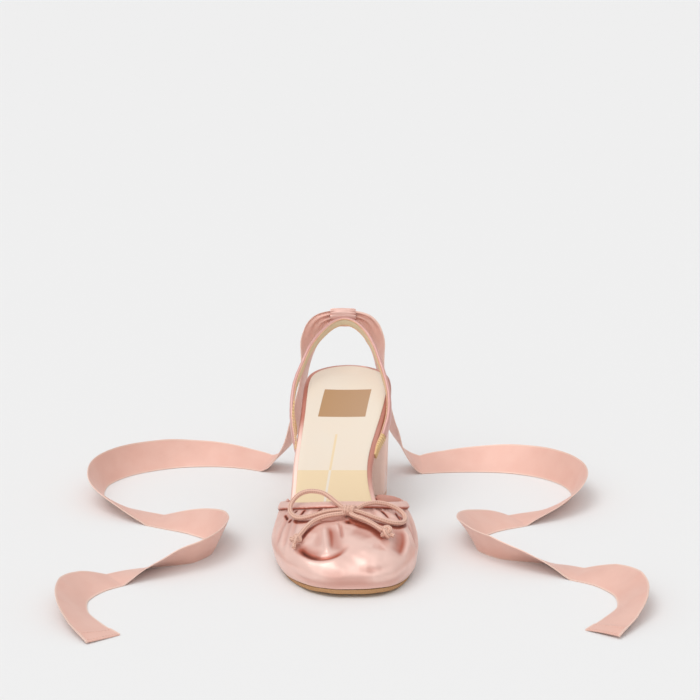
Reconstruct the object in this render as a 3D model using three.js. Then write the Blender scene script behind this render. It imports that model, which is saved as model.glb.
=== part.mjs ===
// High heel shoe, right foot: a satin slingback on a block heel, with a bow and long ribbon ties.
// Millimetres, +Z up. Sizes are given from the toe tip backward (y) and from the line of sight of
// someone facing the toe (x, the big toe's side positive). The group at the end moves the shoe so
// that the origin lies under the middle of its box.

import * as THREE from 'three';

// Driving dimensions
const SHOE_CENTRE = { x: -3.25, y: 115.1 };
const MEET_GAP = 0.3;
const OUTSOLE_THICK = 2.5;
const FOOTBED_THICK = { forefoot: 3.2, waist: 5.6, from: 72, to: 122 };
const FLAT_TOP = OUTSOLE_THICK + MEET_GAP + FOOTBED_THICK.forefoot;
const UPPER_WALL = 1.6;
const FEATHER_RAISE = 0.15;
const FEATHER_OUT = 0.6;
const WELT_MARGIN = { forefoot: 2.6, waist: -1, from: 96, to: 124 };
const SEAT_DISH = 1.3;
const SOCK = { thick: 1, margin: 3.2, from: 0.02, to: 0.997 };
const WING_END = 111;
const CASING = { wide: 7, thick: 1, heightShare: 0.55 };
const HEEL = {
  breast: 171.8, breastGap: 0.6, turn: 192, inset: 0.8,
  lean: 3, taper: 0.93, back: 7, liftThick: 3, corner: 2.4,
};
const STRAP = { steps: 57 };
const KEEPER = { x: -4.8, y: 227.6, z: 113.5, long: 17.5, tall: 12.6, deep: 5.8, wall: 1.1, square: 0.6 };
const BOW_CORD = { wide: 3, sides: 8 };
const TIE = { wide: 22, thick: 0.8, gathered: 9, spreadOver: 32, steps: 75 };

// The upper's wall from sole to topline: shares of the way in (reach) and up (height) at two
// control points, and how far it swells between them at the throat and at each side
const WALL_PATH = {
  low: { reach: { wing: -0.03, toe: -0.03 }, height: { wing: 0.4, toe: 0.56 } },
  high: { reach: { wing: 0.5, toe: 0.24 }, height: { wing: 0.9, toe: 0.76 } },
};
const SWELL = { middle: 1.6, lateral: 6.8, medial: 5 };

// The sole's outline and the height of the footbed's top, from toe to heel
const LAST = [
  { y: 3.2, lateral: -7, medial: 9, top: 8.7 },
  { y: 5.2, lateral: -14, medial: 16.5, top: 8.3 },
  { y: 10, lateral: -21.5, medial: 23, top: 7.7 },
  { y: 18, lateral: -27.8, medial: 28.2, top: 6.9 },
  { y: 29, lateral: -33.6, medial: 32.2, top: 6.2 },
  { y: 42, lateral: -38, medial: 34.8, top: 6 },
  { y: 56, lateral: -40.5, medial: 35.2, top: 6 },
  { y: 70, lateral: -41.3, medial: 33.2, top: 6 },
  { y: 82, lateral: -40.8, medial: 28.6, top: 8.8 },
  { y: 94, lateral: -39.6, medial: 22.6, top: 14.6 },
  { y: 106, lateral: -38.5, medial: 17.6, top: 22.6 },
  { y: 118, lateral: -37.6, medial: 14.8, top: 31 },
  { y: 130, lateral: -37, medial: 14.5, top: 39.2 },
  { y: 142, lateral: -35.8, medial: 16.7, top: 47 },
  { y: 154, lateral: -34.4, medial: 20.2, top: 54.8 },
  { y: 167, lateral: -33, medial: 24, top: 63 },
  { y: 180, lateral: -32, medial: 26.8, top: 70.4 },
  { y: 192, lateral: -31, medial: 27.8, top: 75.6 },
  { y: 202, lateral: -28.9, medial: 26.4, top: 78.4 },
  { y: 210, lateral: -24.9, medial: 22.8, top: 79.6 },
  { y: 216, lateral: -19, medial: 17, top: 80.2 },
  { y: 220, lateral: -11.6, medial: 9.8, top: 80.5 },
  { y: 222, lateral: -4, medial: 2.6, top: 80.6 },
];

// The topline of the upper, from the outer wing over the throat to the inner wing
const TOPLINE = [
  { x: -39.4, y: 111.5, z: 22.2 }, { x: -42, y: 103, z: 24.1 }, { x: -42.8, y: 95, z: 26.5 },
  { x: -39.8, y: 87.5, z: 28.5 }, { x: -30, y: 80, z: 30.8 }, { x: -15.5, y: 73.4, z: 33.7 },
  { x: 0, y: 70.5, z: 35 }, { x: 15, y: 73.2, z: 33.7 }, { x: 27, y: 79.6, z: 31.4 },
  { x: 34.6, y: 87.5, z: 29.4 }, { x: 31.6, y: 95, z: 28.5 }, { x: 25.2, y: 103, z: 27 },
  { x: 18.4, y: 111.5, z: 24.9 },
];

// The sling strap's middle line, from the outer side round the heel to the inner side.
// lean tips its top edge inward, in degrees. It is thinner where it is sewn to the footbed's side.
const SLING = [
  { x: -36.9, y: 143.6, z: 43.9, wide: 4.6, lean: 0, thick: 1.4 },
  { x: -37.2, y: 149.4, z: 49.4, wide: 5.4, lean: 0, thick: 2.2 },
  { x: -38.2, y: 157.6, z: 57.4, wide: 6, lean: 2, thick: 2.8 },
  { x: -38.6, y: 168.4, z: 68, wide: 6, lean: 4, thick: 2.8 },
  { x: -36.9, y: 180.4, z: 78.8, wide: 6, lean: 6, thick: 2.8 },
  { x: -32.4, y: 191.4, z: 88.4, wide: 6, lean: 8, thick: 2.8 },
  { x: -26.4, y: 203.4, z: 98.6, wide: 6, lean: 10, thick: 2.8 },
  { x: -18, y: 214, z: 106.4, wide: 6, lean: 12, thick: 2.8 },
  { x: -10.4, y: 220.8, z: 110.6, wide: 6, lean: 12, thick: 2.8 },
  { x: -3.8, y: 222.8, z: 111.8, wide: 6, lean: 12, thick: 2.8 },
  { x: 2.8, y: 220.8, z: 110.6, wide: 6, lean: 12, thick: 2.8 },
  { x: 9.4, y: 215, z: 106.6, wide: 6, lean: 12, thick: 2.8 },
  { x: 15.4, y: 206, z: 99.6, wide: 6, lean: 12, thick: 2.8 },
  { x: 19.6, y: 196.4, z: 91.2, wide: 6, lean: 12, thick: 2.8 },
  { x: 23.2, y: 186, z: 82.6, wide: 6, lean: 10, thick: 2.8 },
  { x: 25.8, y: 175, z: 73.2, wide: 6, lean: 8, thick: 2.8 },
  { x: 25.8, y: 164.6, z: 62.6, wide: 6, lean: 5, thick: 2.8 },
  { x: 23, y: 154, z: 52.6, wide: 6, lean: 3, thick: 2.8 },
  { x: 19, y: 144.6, z: 45, wide: 5.4, lean: 0, thick: 2.2 },
  { x: 17.1, y: 138.6, z: 40.6, wide: 4.6, lean: 0, thick: 1.4 },
];

// The bow's cord: each loop leaves the knot and comes back to it, each tail runs to its end knot
const LOOP_OUTER = [
  { x: -4.2, y: 58, z: 36.4 }, { x: -7, y: 61.7, z: 37.3 }, { x: -9.8, y: 65.8, z: 38.2 },
  { x: -12.8, y: 70, z: 39.2 }, { x: -16.8, y: 73.7, z: 40.3 }, { x: -21.9, y: 76.2, z: 40.6 },
  { x: -26.8, y: 77.4, z: 40 }, { x: -30.9, y: 77.2, z: 38.5 }, { x: -34.3, y: 75.4, z: 36.2 },
  { x: -36.4, y: 72.2, z: 34 }, { x: -37.2, y: 68, z: 32.2 }, { x: -36.4, y: 63.4, z: 30.7 },
  { x: -33.8, y: 59, z: 30 }, { x: -30, y: 55.6, z: 30.5 }, { x: -25.1, y: 54, z: 31.9 },
  { x: -20.1, y: 54.2, z: 33.4 }, { x: -14.5, y: 54.8, z: 34.8 }, { x: -8.8, y: 54.8, z: 35.7 },
  { x: -5, y: 54.2, z: 36.1 },
];
const LOOP_INNER = [
  { x: 3.4, y: 56.9, z: 35.8 }, { x: 6.2, y: 59, z: 36.7 }, { x: 9, y: 61, z: 37.3 },
  { x: 12, y: 62.9, z: 37.4 }, { x: 15.2, y: 64.7, z: 37.2 }, { x: 18.9, y: 66.2, z: 36.4 },
  { x: 22.7, y: 67, z: 35.4 }, { x: 26.6, y: 66.8, z: 33.9 }, { x: 30.3, y: 66, z: 31.9 },
  { x: 33, y: 63.2, z: 30.1 }, { x: 34, y: 58.7, z: 28.9 }, { x: 32.9, y: 53.4, z: 28.7 },
  { x: 29.6, y: 49.2, z: 29.4 }, { x: 24.9, y: 47.2, z: 30.6 }, { x: 20, y: 47.2, z: 32 },
  { x: 14.9, y: 48.7, z: 33.3 }, { x: 10.2, y: 50.8, z: 34.4 }, { x: 6.8, y: 52.4, z: 35.2 },
  { x: 4, y: 53.1, z: 35.7 },
];
const TAIL_OUTER = [
  { x: -4.2, y: 50.6, z: 35.3 }, { x: -7.7, y: 50, z: 35 }, { x: -11.5, y: 49.6, z: 34.6 },
  { x: -15.7, y: 49, z: 33.8 }, { x: -19.7, y: 47.6, z: 32.8 }, { x: -23.4, y: 45, z: 31.5 },
  { x: -26.4, y: 41.3, z: 29.9 }, { x: -28.8, y: 37.1, z: 28.5 }, { x: -31, y: 32.6, z: 27.2 },
];
const TAIL_INNER = [
  { x: 1.8, y: 49.4, z: 34.6 }, { x: 4.6, y: 47.4, z: 34.1 }, { x: 7.7, y: 45.4, z: 33.6 },
  { x: 11.1, y: 42.9, z: 32.9 }, { x: 14.2, y: 40.2, z: 32.1 }, { x: 17, y: 37.3, z: 31.2 },
  { x: 20, y: 34.2, z: 30.3 },
];
const KNOTS = {
  bow: { x: -0.6, y: 54.4, z: 35.9, half: { x: 4, y: 5, z: 2.6 } },
  outer: { x: -32.8, y: 28.6, z: 26.2, half: { x: 2.9, y: 3.5, z: 2.8 } },
  inner: { x: 22.6, y: 31.4, z: 29.5, half: { x: 3.5, y: 3.2, z: 2.7 } },
};

// Each ribbon tie leaves the keeper, falls behind the heel and lies on the floor in slow bends.
// tilt turns the ribbon about its own path, in degrees: 0 lies flat, more lifts its left edge.
// A row with z 0 rests on the floor.
const TIE_OUTER = [
  { x: -5, y: 227.6, z: 113.5, tilt: 90 }, { x: -14.4, y: 227.6, z: 113.3, tilt: 90 },
  { x: -20.6, y: 228, z: 110.4, tilt: 72 }, { x: -25, y: 228.8, z: 103, tilt: 42 },
  { x: -28.2, y: 229.4, z: 91, tilt: 18 }, { x: -31, y: 229.8, z: 75, tilt: 5 },
  { x: -33.8, y: 230.4, z: 57, tilt: 0 }, { x: -37.4, y: 231.8, z: 38, tilt: -2 },
  { x: -43.6, y: 235, z: 19, tilt: -6 }, { x: -54.6, y: 241, z: 5.4, tilt: -13 },
  { x: -72, y: 249, z: 0, tilt: -22 }, { x: -94, y: 252.6, z: 0, tilt: -34 },
  { x: -117, y: 250, z: 0, tilt: -46 }, { x: -139, y: 241, z: 0, tilt: -56 },
  { x: -158, y: 226, z: 0, tilt: -64 }, { x: -170, y: 205, z: 0, tilt: -68 },
  { x: -172, y: 181, z: 0, tilt: -62 }, { x: -163, y: 159, z: 0, tilt: -44 },
  { x: -144, y: 143, z: 0, tilt: -20 }, { x: -121, y: 130, z: 0, tilt: 8 },
  { x: -99, y: 116, z: 0, tilt: 34 }, { x: -84, y: 97, z: 0, tilt: 56 },
  { x: -82, y: 74, z: 0, tilt: 66 }, { x: -93, y: 54, z: 0, tilt: 60 },
  { x: -114, y: 43, z: 0, tilt: 38 }, { x: -136, y: 33, z: 0, tilt: 8 },
  { x: -154, y: 18, z: 0, tilt: -20 }, { x: -163, y: -3, z: 0, tilt: -38 },
  { x: -161, y: -25, z: 0, tilt: -32 }, { x: -151, y: -45, z: 0, tilt: -14 },
  { x: -139, y: -61, z: 0, tilt: -3 },
];
const TIE_INNER = [
  { x: -4.6, y: 227.6, z: 113.5, tilt: 90 }, { x: 4.8, y: 227.6, z: 113.3, tilt: 90 },
  { x: 11, y: 228, z: 110.3, tilt: 108 }, { x: 15.4, y: 228.8, z: 102.8, tilt: 138 },
  { x: 18.6, y: 229.4, z: 90.8, tilt: 162 }, { x: 21.4, y: 229.8, z: 74.8, tilt: 175 },
  { x: 24.4, y: 230.4, z: 56.8, tilt: 180 }, { x: 28.6, y: 231.8, z: 37.8, tilt: 182 },
  { x: 35.4, y: 234.6, z: 18.6, tilt: 187 }, { x: 47, y: 238, z: 5, tilt: 197 },
  { x: 67, y: 240.6, z: 0, tilt: 206 }, { x: 90, y: 240.4, z: 0, tilt: 218 },
  { x: 113, y: 236, z: 0, tilt: 230 }, { x: 134, y: 225, z: 0, tilt: 240 },
  { x: 149, y: 207, z: 0, tilt: 246 }, { x: 155, y: 184, z: 0, tilt: 244 },
  { x: 149, y: 161, z: 0, tilt: 230 }, { x: 132, y: 144, z: 0, tilt: 206 },
  { x: 110, y: 133, z: 0, tilt: 180 }, { x: 89, y: 120, z: 0, tilt: 154 },
  { x: 76, y: 101, z: 0, tilt: 132 }, { x: 76, y: 78, z: 0, tilt: 118 },
  { x: 90, y: 60, z: 0, tilt: 122 }, { x: 111, y: 50, z: 0, tilt: 144 },
  { x: 134, y: 41, z: 0, tilt: 174 }, { x: 154, y: 27, z: 0, tilt: 202 },
  { x: 165, y: 6, z: 0, tilt: 218 }, { x: 165, y: -17, z: 0, tilt: 214 },
  { x: 155, y: -37, z: 0, tilt: 196 }, { x: 143, y: -54, z: 0, tilt: 184 },
];

const mix = (from, to, share) => from + (to - from) * share;
const ease = (from, to, value) => THREE.MathUtils.smoothstep(value, from, to);
const eased = (size, y) => mix(size.forefoot, size.waist, ease(size.from, size.to, y));
const spline = (points) => new THREE.CatmullRomCurve3(points, false, 'centripetal');

// A closed body from shared points and triangles, turned so that its faces point out
function closedBody(points, triangles) {
  let volume = 0;
  for (const [a, b, c] of triangles) {
    volume += points[a].dot(new THREE.Vector3().crossVectors(points[b], points[c]));
  }
  const order = volume > 0 ? triangles : triangles.map(([a, b, c]) => [a, c, b]);
  const geometry = new THREE.BufferGeometry().setFromPoints(points);
  geometry.setIndex(order.flat());
  geometry.computeVertexNormals();
  return geometry;
}

// Two triangles over each cell of a grid of point numbers
function gridCells(grid) {
  const triangles = [];
  for (let i = 0; i + 1 < grid.length; i += 1) {
    for (let j = 0; j + 1 < grid[i].length; j += 1) {
      triangles.push([grid[i][j], grid[i + 1][j], grid[i + 1][j + 1]]);
      triangles.push([grid[i][j], grid[i + 1][j + 1], grid[i][j + 1]]);
    }
  }
  return triangles;
}

// A body through rings of equal count. endless joins the last ring to the first.
function loft(rings, endless = false) {
  const count = rings[0].length;
  const grid = rings.map((ring, i) => ring.map((point, j) => i * count + j));
  if (endless) {
    grid.push(grid[0]);
  }
  const triangles = gridCells(grid.map((row) => [...row, row[0]]));
  if (!endless) {
    const last = (rings.length - 1) * count;
    for (let j = 1; j + 1 < count; j += 1) {
      triangles.push([0, j, j + 1]);
      triangles.push([last, last + j + 1, last + j]);
    }
  }
  return closedBody(rings.flat(), triangles);
}

// Edges of the footbed: share 0 is the toe, 1 the heel
const edgeCurve = {
  lateral: spline(LAST.map((row) => new THREE.Vector3(row.lateral, row.y, row.top))),
  medial: spline(LAST.map((row) => new THREE.Vector3(row.medial, row.y, row.top))),
};

// The share of the way to the heel at which the footbed's edge reaches y
function shareAt(y) {
  let low = 0;
  let high = 1;
  for (let step = 0; step < 40; step += 1) {
    const middle = (low + high) / 2;
    if (edgeCurve.lateral.getPoint(middle).y < y) {
      low = middle;
    } else {
      high = middle;
    }
  }
  return low;
}

const footbedTop = (y) => Math.max(FLAT_TOP, edgeCurve.lateral.getPoint(shareAt(y)).z);

// A point of the edge, moved outward in plan, at the height of the footbed's top there
function edgePoint(side, share, outward) {
  const point = edgeCurve[side].getPoint(share);
  const tangent = edgeCurve[side].getTangent(share);
  const flat = Math.hypot(tangent.x, tangent.y);
  const turn = side === 'lateral' ? 1 : -1;
  point.x -= (turn * outward * tangent.y) / flat;
  point.y += (turn * outward * tangent.x) / flat;
  point.z = footbedTop(point.y);
  return point;
}

// How far the footbed's top is hollowed, at a share across it
function dish(y, across) {
  const depth = SEAT_DISH * ease(120, 195, y);
  return depth * (1 - (2 * across - 1) ** 2);
}

const footbedBottom = (point) => point.z - eased(FOOTBED_THICK, point.y);
const outsoleTop = (point) => Math.max(footbedBottom(point) - MEET_GAP, OUTSOLE_THICK);

// One ring across the shoe. profile gives each edge from bottom to top, middle the top's points.
function plankRing(left, right, bottomOf, topOf, profile, middle) {
  const width = left.distanceTo(right);
  const place = (across, level) => {
    const point = left.clone().lerp(right, across);
    point.z = mix(bottomOf(point, across), topOf(point, across), level);
    return point;
  };
  return [
    ...profile.map(({ inset, level }) => place(inset / width, level)),
    ...middle.map((across) => place(across, 1)),
    ...profile.map(({ inset, level }) => place(1 - inset / width, level)).reverse(),
  ];
}

const shares = (count, last = 1) => Array.from({ length: count }, (_, i) => (last * i) / (count - 1));

// Footbed and outsole are cut into rings at the same places, at each row and halfway between
const stations = shares(2 * LAST.length - 1);

function footbed() {
  const profile = [
    { inset: 1.2, level: 0 },
    { inset: 0.1, level: 0.3 },
    { inset: 0, level: 0.65 },
    { inset: 0.5, level: 0.9 },
    { inset: 1.8, level: 1 },
  ];
  const rings = stations.map((share) => {
    const left = edgePoint('lateral', share, 0);
    const right = edgePoint('medial', share, 0);
    const topOf = (point, across) => point.z - dish(point.y, across);
    return plankRing(left, right, footbedBottom, topOf, profile, [0.22, 0.5, 0.78]);
  });
  return loft(rings);
}

function sockLining() {
  const profile = [
    { inset: 0, level: 0 },
    { inset: 0, level: 1 },
  ];
  const rings = shares(43).map((share) => {
    const along = mix(SOCK.from, SOCK.to, share);
    const left = edgePoint('lateral', along, -SOCK.margin);
    const right = edgePoint('medial', along, -SOCK.margin);
    const onTop = (point, across) => {
      const inset = SOCK.margin / (left.distanceTo(right) + 2 * SOCK.margin);
      return point.z - dish(point.y, mix(inset, 1 - inset, across)) + MEET_GAP;
    };
    const topOf = (point, across) => onTop(point, across) + SOCK.thick;
    const ring = plankRing(left, right, onTop, topOf, profile, [0.25, 0.5, 0.75]);
    const under = [0.75, 0.5, 0.25].map((across) => {
      const point = left.clone().lerp(right, across);
      point.z = onTop(point, across);
      return point;
    });
    return [...ring, ...under];
  });
  return loft(rings);
}

function outsole() {
  const profile = [
    { inset: 0.6, level: 0 },
    { inset: 0, level: 0.3 },
    { inset: 0, level: 0.8 },
    { inset: 0.4, level: 1 },
  ];
  const end = shareAt(HEEL.breast - HEEL.breastGap);
  const rings = [...stations.filter((share) => share < end - 0.004), end].map((share) => {
    const margin = eased(WELT_MARGIN, edgeCurve.lateral.getPoint(share).y);
    const left = edgePoint('lateral', share, margin);
    const right = edgePoint('medial', share, margin);
    const bottomOf = (point) => outsoleTop(point) - OUTSOLE_THICK;
    return plankRing(left, right, bottomOf, outsoleTop, profile, [0.5]);
  });
  return loft(rings);
}

// A row of the heel from breast to back: the edge at the seat, and the same edge lower down
function heelRow(y, level) {
  const share = shareAt(y);
  const left = edgePoint('lateral', share, -HEEL.inset);
  const right = edgePoint('medial', share, -HEEL.inset);
  const nearBreast = Math.max(0, 1 - (y - HEEL.breast) / HEEL.corner);
  const corner = HEEL.corner * nearBreast ** 2;
  const middle = new THREE.Vector3().addVectors(left, right).multiplyScalar(0.5);
  const length = LAST.at(-1).y - HEEL.breast;
  for (const [point, way] of [[left, 1], [right, -1]]) {
    const down = 1 - level;
    const along = (point.y - HEEL.breast) / length;
    point.x = middle.x + (point.x + way * corner - middle.x) * mix(1, HEEL.taper, down);
    point.y += down * mix(HEEL.lean, -HEEL.back, along);
  }
  return { left, right };
}

// Rows are closer together where the heel's back turns
function heelStations() {
  const straight = [0, 0.5, 1.2, HEEL.corner, 8, 16].map((step) => HEEL.breast + step);
  const end = LAST.at(-1).y - HEEL.inset / 2;
  const round = shares(12).map((share) => mix(HEEL.turn, end, Math.sin((share * Math.PI) / 2)));
  return [...straight, ...round];
}

function heelBody(levels, zOf) {
  const rings = heelStations().map((y) => {
    const rows = levels.map((level) => ({ level, ...heelRow(y, level) }));
    const down = [...rows].reverse();
    const left = rows.map(({ level, left: point }) => zOf(point, level));
    const right = down.map(({ level, right: point }) => zOf(point, level));
    return [...left, ...right];
  });
  return loft(rings);
}

// The seat's own height at a point of the heel, whatever its level
function seatUnder(point) {
  return footbedTop(point.y) - FOOTBED_THICK.waist - MEET_GAP;
}

function blockHeel() {
  return heelBody([0, 0.25, 0.5, 0.75, 1], (point, level) => {
    point.z = mix(HEEL.liftThick + MEET_GAP, seatUnder(point), level);
    return point;
  });
}

function heelLift() {
  return heelBody([0, 0.02], (point, level) => {
    point.z = level === 0 ? 0 : HEEL.liftThick;
    return point;
  });
}

// The upper's lower edge runs round the footbed from the outer wing over the toe to the inner wing
function featherLine() {
  const wing = shareAt(WING_END);
  const outward = MEET_GAP + UPPER_WALL + FEATHER_OUT;
  const way = shares(22, wing);
  const lateral = way.map((share) => edgePoint('lateral', share, outward)).reverse();
  const medial = way.map((share) => edgePoint('medial', share, outward));
  return spline([...lateral, ...medial].map((point) => point.setZ(footbedBottom(point) + FEATHER_RAISE)));
}

const feather = featherLine();
const topline = spline(TOPLINE.map(({ x, y, z }) => new THREE.Vector3(x, y, z)));

// How far the upper's wall has come at a rise from 0 to 1, as a cubic through its two control points
function wallShare(rise, toe, way) {
  const low = mix(WALL_PATH.low[way].wing, WALL_PATH.low[way].toe, toe);
  const high = mix(WALL_PATH.high[way].wing, WALL_PATH.high[way].toe, toe);
  return 3 * rise * (1 - rise) ** 2 * low + 3 * rise ** 2 * (1 - rise) * high + rise ** 3;
}

// The upper's outer face: along 0 to 1 from wing to wing, rise 0 to 1 from sole to topline
function upperFace(along, rise) {
  const foot = feather.getPointAt(along);
  const top = topline.getPointAt(along);
  const tangent = feather.getTangentAt(along);
  const flat = Math.hypot(tangent.x, tangent.y);
  const fromMiddle = Math.abs(along - 0.5);
  const toe = ease(0, 0.34, 0.5 - fromMiddle);
  const side = Math.sin(Math.PI * Math.min(1, fromMiddle / 0.45)) ** 1.5;
  const most = mix(SWELL.middle, along < 0.5 ? SWELL.lateral : SWELL.medial, side);
  const swell = most * ease(0, 0.16, 0.5 - fromMiddle) * Math.sin(Math.PI * rise ** 0.75) ** 1.2;
  const reach = wallShare(rise, toe, 'reach');
  const height = wallShare(rise, toe, 'height');
  return new THREE.Vector3(
    mix(foot.x, top.x, reach) + (swell * tangent.y) / flat,
    mix(foot.y, top.y, reach) - (swell * tangent.x) / flat,
    mix(foot.z, top.z, height),
  );
}

// The same face moved outward along its own normal
function upperPoint(along, rise, outward) {
  const step = 0.004;
  const low = { along: Math.max(0, along - step), rise: Math.max(0, rise - step) };
  const high = { along: Math.min(1, along + step), rise: Math.min(1, rise + step) };
  const across = upperFace(high.along, rise).sub(upperFace(low.along, rise));
  const up = upperFace(along, high.rise).sub(upperFace(along, low.rise));
  const normal = new THREE.Vector3().crossVectors(across, up).normalize();
  return upperFace(along, rise).addScaledVector(normal, outward);
}

// A sheet between two offsets of the upper's face, from a lower line to the topline
function upperSheet(inner, outer, lowerRise, alongShares, rows) {
  const faces = [inner, outer].map((outward) =>
    alongShares.map((along) =>
      shares(rows).map((share) => upperPoint(along, mix(lowerRise(along), 1, share), outward)),
    ),
  );
  return gridShell(faces[0], faces[1]);
}

// A closed wall between two grids of points
function gridShell(inside, outside) {
  const columns = inside.length;
  const rows = inside[0].length;
  const number = (face, i, j) => face * columns * rows + i * rows + j;
  const grid = (face) => inside.map((column, i) => column.map((point, j) => number(face, i, j)));
  const [a, b] = [grid(0), grid(1)];
  const rim = [
    ...shares(columns, columns - 1).map((i) => [i, 0]),
    ...shares(rows, rows - 1).slice(1).map((j) => [columns - 1, j]),
    ...shares(columns, columns - 1).reverse().slice(1).map((i) => [i, rows - 1]),
    ...shares(rows, rows - 1).reverse().slice(1).map((j) => [0, j]),
  ];
  const edge = gridCells([rim.map(([i, j]) => b[i][j]), rim.map(([i, j]) => a[i][j])]);
  const triangles = [
    ...gridCells(a).map(([p, q, r]) => [p, r, q]),
    ...gridCells(b),
    ...edge,
  ];
  return closedBody([...inside.flat(), ...outside.flat()], triangles);
}

function upper() {
  return upperSheet(-UPPER_WALL, 0, () => 0, shares(61), 12);
}

// The rise at which the casing's lower edge lies, its width measured down from the topline
function casingRise(along) {
  const steps = 60;
  const points = shares(steps + 1).map((rise) => upperFace(along, rise));
  const cells = shares(steps, steps - 1).map((i) => points[i].distanceTo(points[i + 1]));
  const length = cells.reduce((sum, cell) => sum + cell, 0);
  let left = length - Math.min(CASING.wide, CASING.heightShare * length);
  let whole = 0;
  while (left > cells[whole]) {
    left -= cells[whole];
    whole += 1;
  }
  return (whole + left / cells[whole]) / steps;
}

function toplineCasing() {
  return upperSheet(MEET_GAP, MEET_GAP + CASING.thick, casingRise, shares(61), 4);
}

// A band's ring, flat with rounded edges: a circle whose middle is drawn out to the band's width
function bandRing(centre, wideWay, thinWay, wide, thick) {
  return Array.from({ length: 10 }, (_, i) => {
    const angle = (i / 10) * 2 * Math.PI;
    const across = Math.sign(Math.cos(angle)) * Math.abs(Math.cos(angle)) ** 0.5;
    const deep = Math.sign(Math.sin(angle)) * Math.abs(Math.sin(angle)) ** 0.5;
    return centre
      .clone()
      .addScaledVector(wideWay, (across * wide) / 2)
      .addScaledVector(thinWay, (deep * thick) / 2);
  });
}

// A column of a table between its rows, share 0 being the first row and 1 the last
function between(rows, column, share) {
  const place = share * (rows.length - 1);
  const row = Math.min(rows.length - 2, Math.floor(place));
  return mix(rows[row][column], rows[row + 1][column], place - row);
}

const through = (rows) => spline(rows.map(({ x, y, z }) => new THREE.Vector3(x, y, z)));

function slingStrap() {
  const middle = through(SLING);
  const rings = shares(STRAP.steps + 1).map((share) => {
    const tangent = middle.getTangent(share);
    const up = new THREE.Vector3(0, 0, 1).addScaledVector(tangent, -tangent.z).normalize();
    up.applyAxisAngle(tangent, THREE.MathUtils.degToRad(between(SLING, 'lean', share)));
    const outward = new THREE.Vector3().crossVectors(up, tangent);
    const [wide, thick] = ['wide', 'thick'].map((column) => between(SLING, column, share));
    return bandRing(middle.getPoint(share), up, outward, wide, thick);
  });
  return loft(rings);
}

// The keeper is a flat loop of satin behind the strap, open at both sides for the ribbon
function ribbonKeeper() {
  const steps = 24;
  const rings = Array.from({ length: steps }, (_, i) => {
    const angle = (i / steps) * 2 * Math.PI;
    const ways = { y: Math.cos(angle), z: Math.sin(angle) };
    const point = (end, inset) =>
      new THREE.Vector3(
        KEEPER.x + (end * KEEPER.long) / 2,
        KEEPER.y + ways.y * (KEEPER.deep / 2 - inset),
        KEEPER.z + Math.sign(ways.z) * Math.abs(ways.z) ** KEEPER.square * (KEEPER.tall / 2 - inset),
      );
    return [point(-1, 0), point(1, 0), point(1, KEEPER.wall), point(-1, KEEPER.wall)];
  });
  return loft(rings, true);
}

// A ribbon's two faces, each as rows of points across it, no lower than just above the floor
function ribbonTie(rows) {
  const middle = through(rows);
  const sections = shares(TIE.steps + 1).map((share) => {
    const centre = middle.getPoint(share);
    const tangent = middle.getTangent(share);
    const left = new THREE.Vector3(-tangent.y, tangent.x, 0).normalize();
    left.applyAxisAngle(tangent, THREE.MathUtils.degToRad(between(rows, 'tilt', share)));
    const face = new THREE.Vector3().crossVectors(tangent, left);
    const fromKeeper = centre.distanceTo(middle.getPoint(0));
    const wide = mix(TIE.gathered, TIE.wide, ease(KEEPER.long / 2, TIE.spreadOver, fromKeeper));
    const row = (side) =>
      [-0.5, 0, 0.5].map((across) =>
        centre
          .clone()
          .addScaledVector(left, across * wide)
          .addScaledVector(face, (side * TIE.thick) / 2),
      );
    const faces = [row(-1), row(1)];
    const lift = Math.max(0, MEET_GAP - Math.min(...faces.flat().map(({ z }) => z)));
    faces.flat().forEach((point) => point.setZ(point.z + lift));
    return faces;
  });
  return gridShell(sections.map(([under]) => under), sections.map(([, over]) => over));
}

function cordTube(rows) {
  const section = new THREE.Shape();
  for (let side = 0; side < BOW_CORD.sides; side += 1) {
    const angle = (side / BOW_CORD.sides) * 2 * Math.PI;
    const [x, y] = [Math.cos(angle), Math.sin(angle)].map((way) => (way * BOW_CORD.wide) / 2);
    section[side === 0 ? 'moveTo' : 'lineTo'](x, y);
  }
  const steps = rows.length + 2;
  const options = { steps, bevelEnabled: false, extrudePath: through(rows) };
  return new THREE.ExtrudeGeometry(section, options);
}

function knot({ x, y, z, half }) {
  const geometry = new THREE.SphereGeometry(1, 12, 8);
  geometry.scale(half.x, half.y, half.z);
  geometry.translate(x, y, z);
  return geometry;
}

const HALF_SHADE = { roughness: 0.5, metalness: 0 };
const FINISH = {
  satin: { color: 0xe2b0a6, ...HALF_SHADE },
  satinDusty: { color: 0xd9a8a3, ...HALF_SHADE },
  sock: { color: 0xefe4d6, roughness: 0.6, metalness: 0 },
  cord: { color: 0xd8ab99, roughness: 0.7, metalness: 0 },
  ribbon: { color: 0xe3b5a5, ...HALF_SHADE },
  outsole: { color: 0xc9985f, roughness: 0.65, metalness: 0 },
};

function piece(name, geometry, finish) {
  const mesh = new THREE.Mesh(geometry, new THREE.MeshStandardMaterial(finish));
  mesh.name = name;
  return mesh;
}

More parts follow.
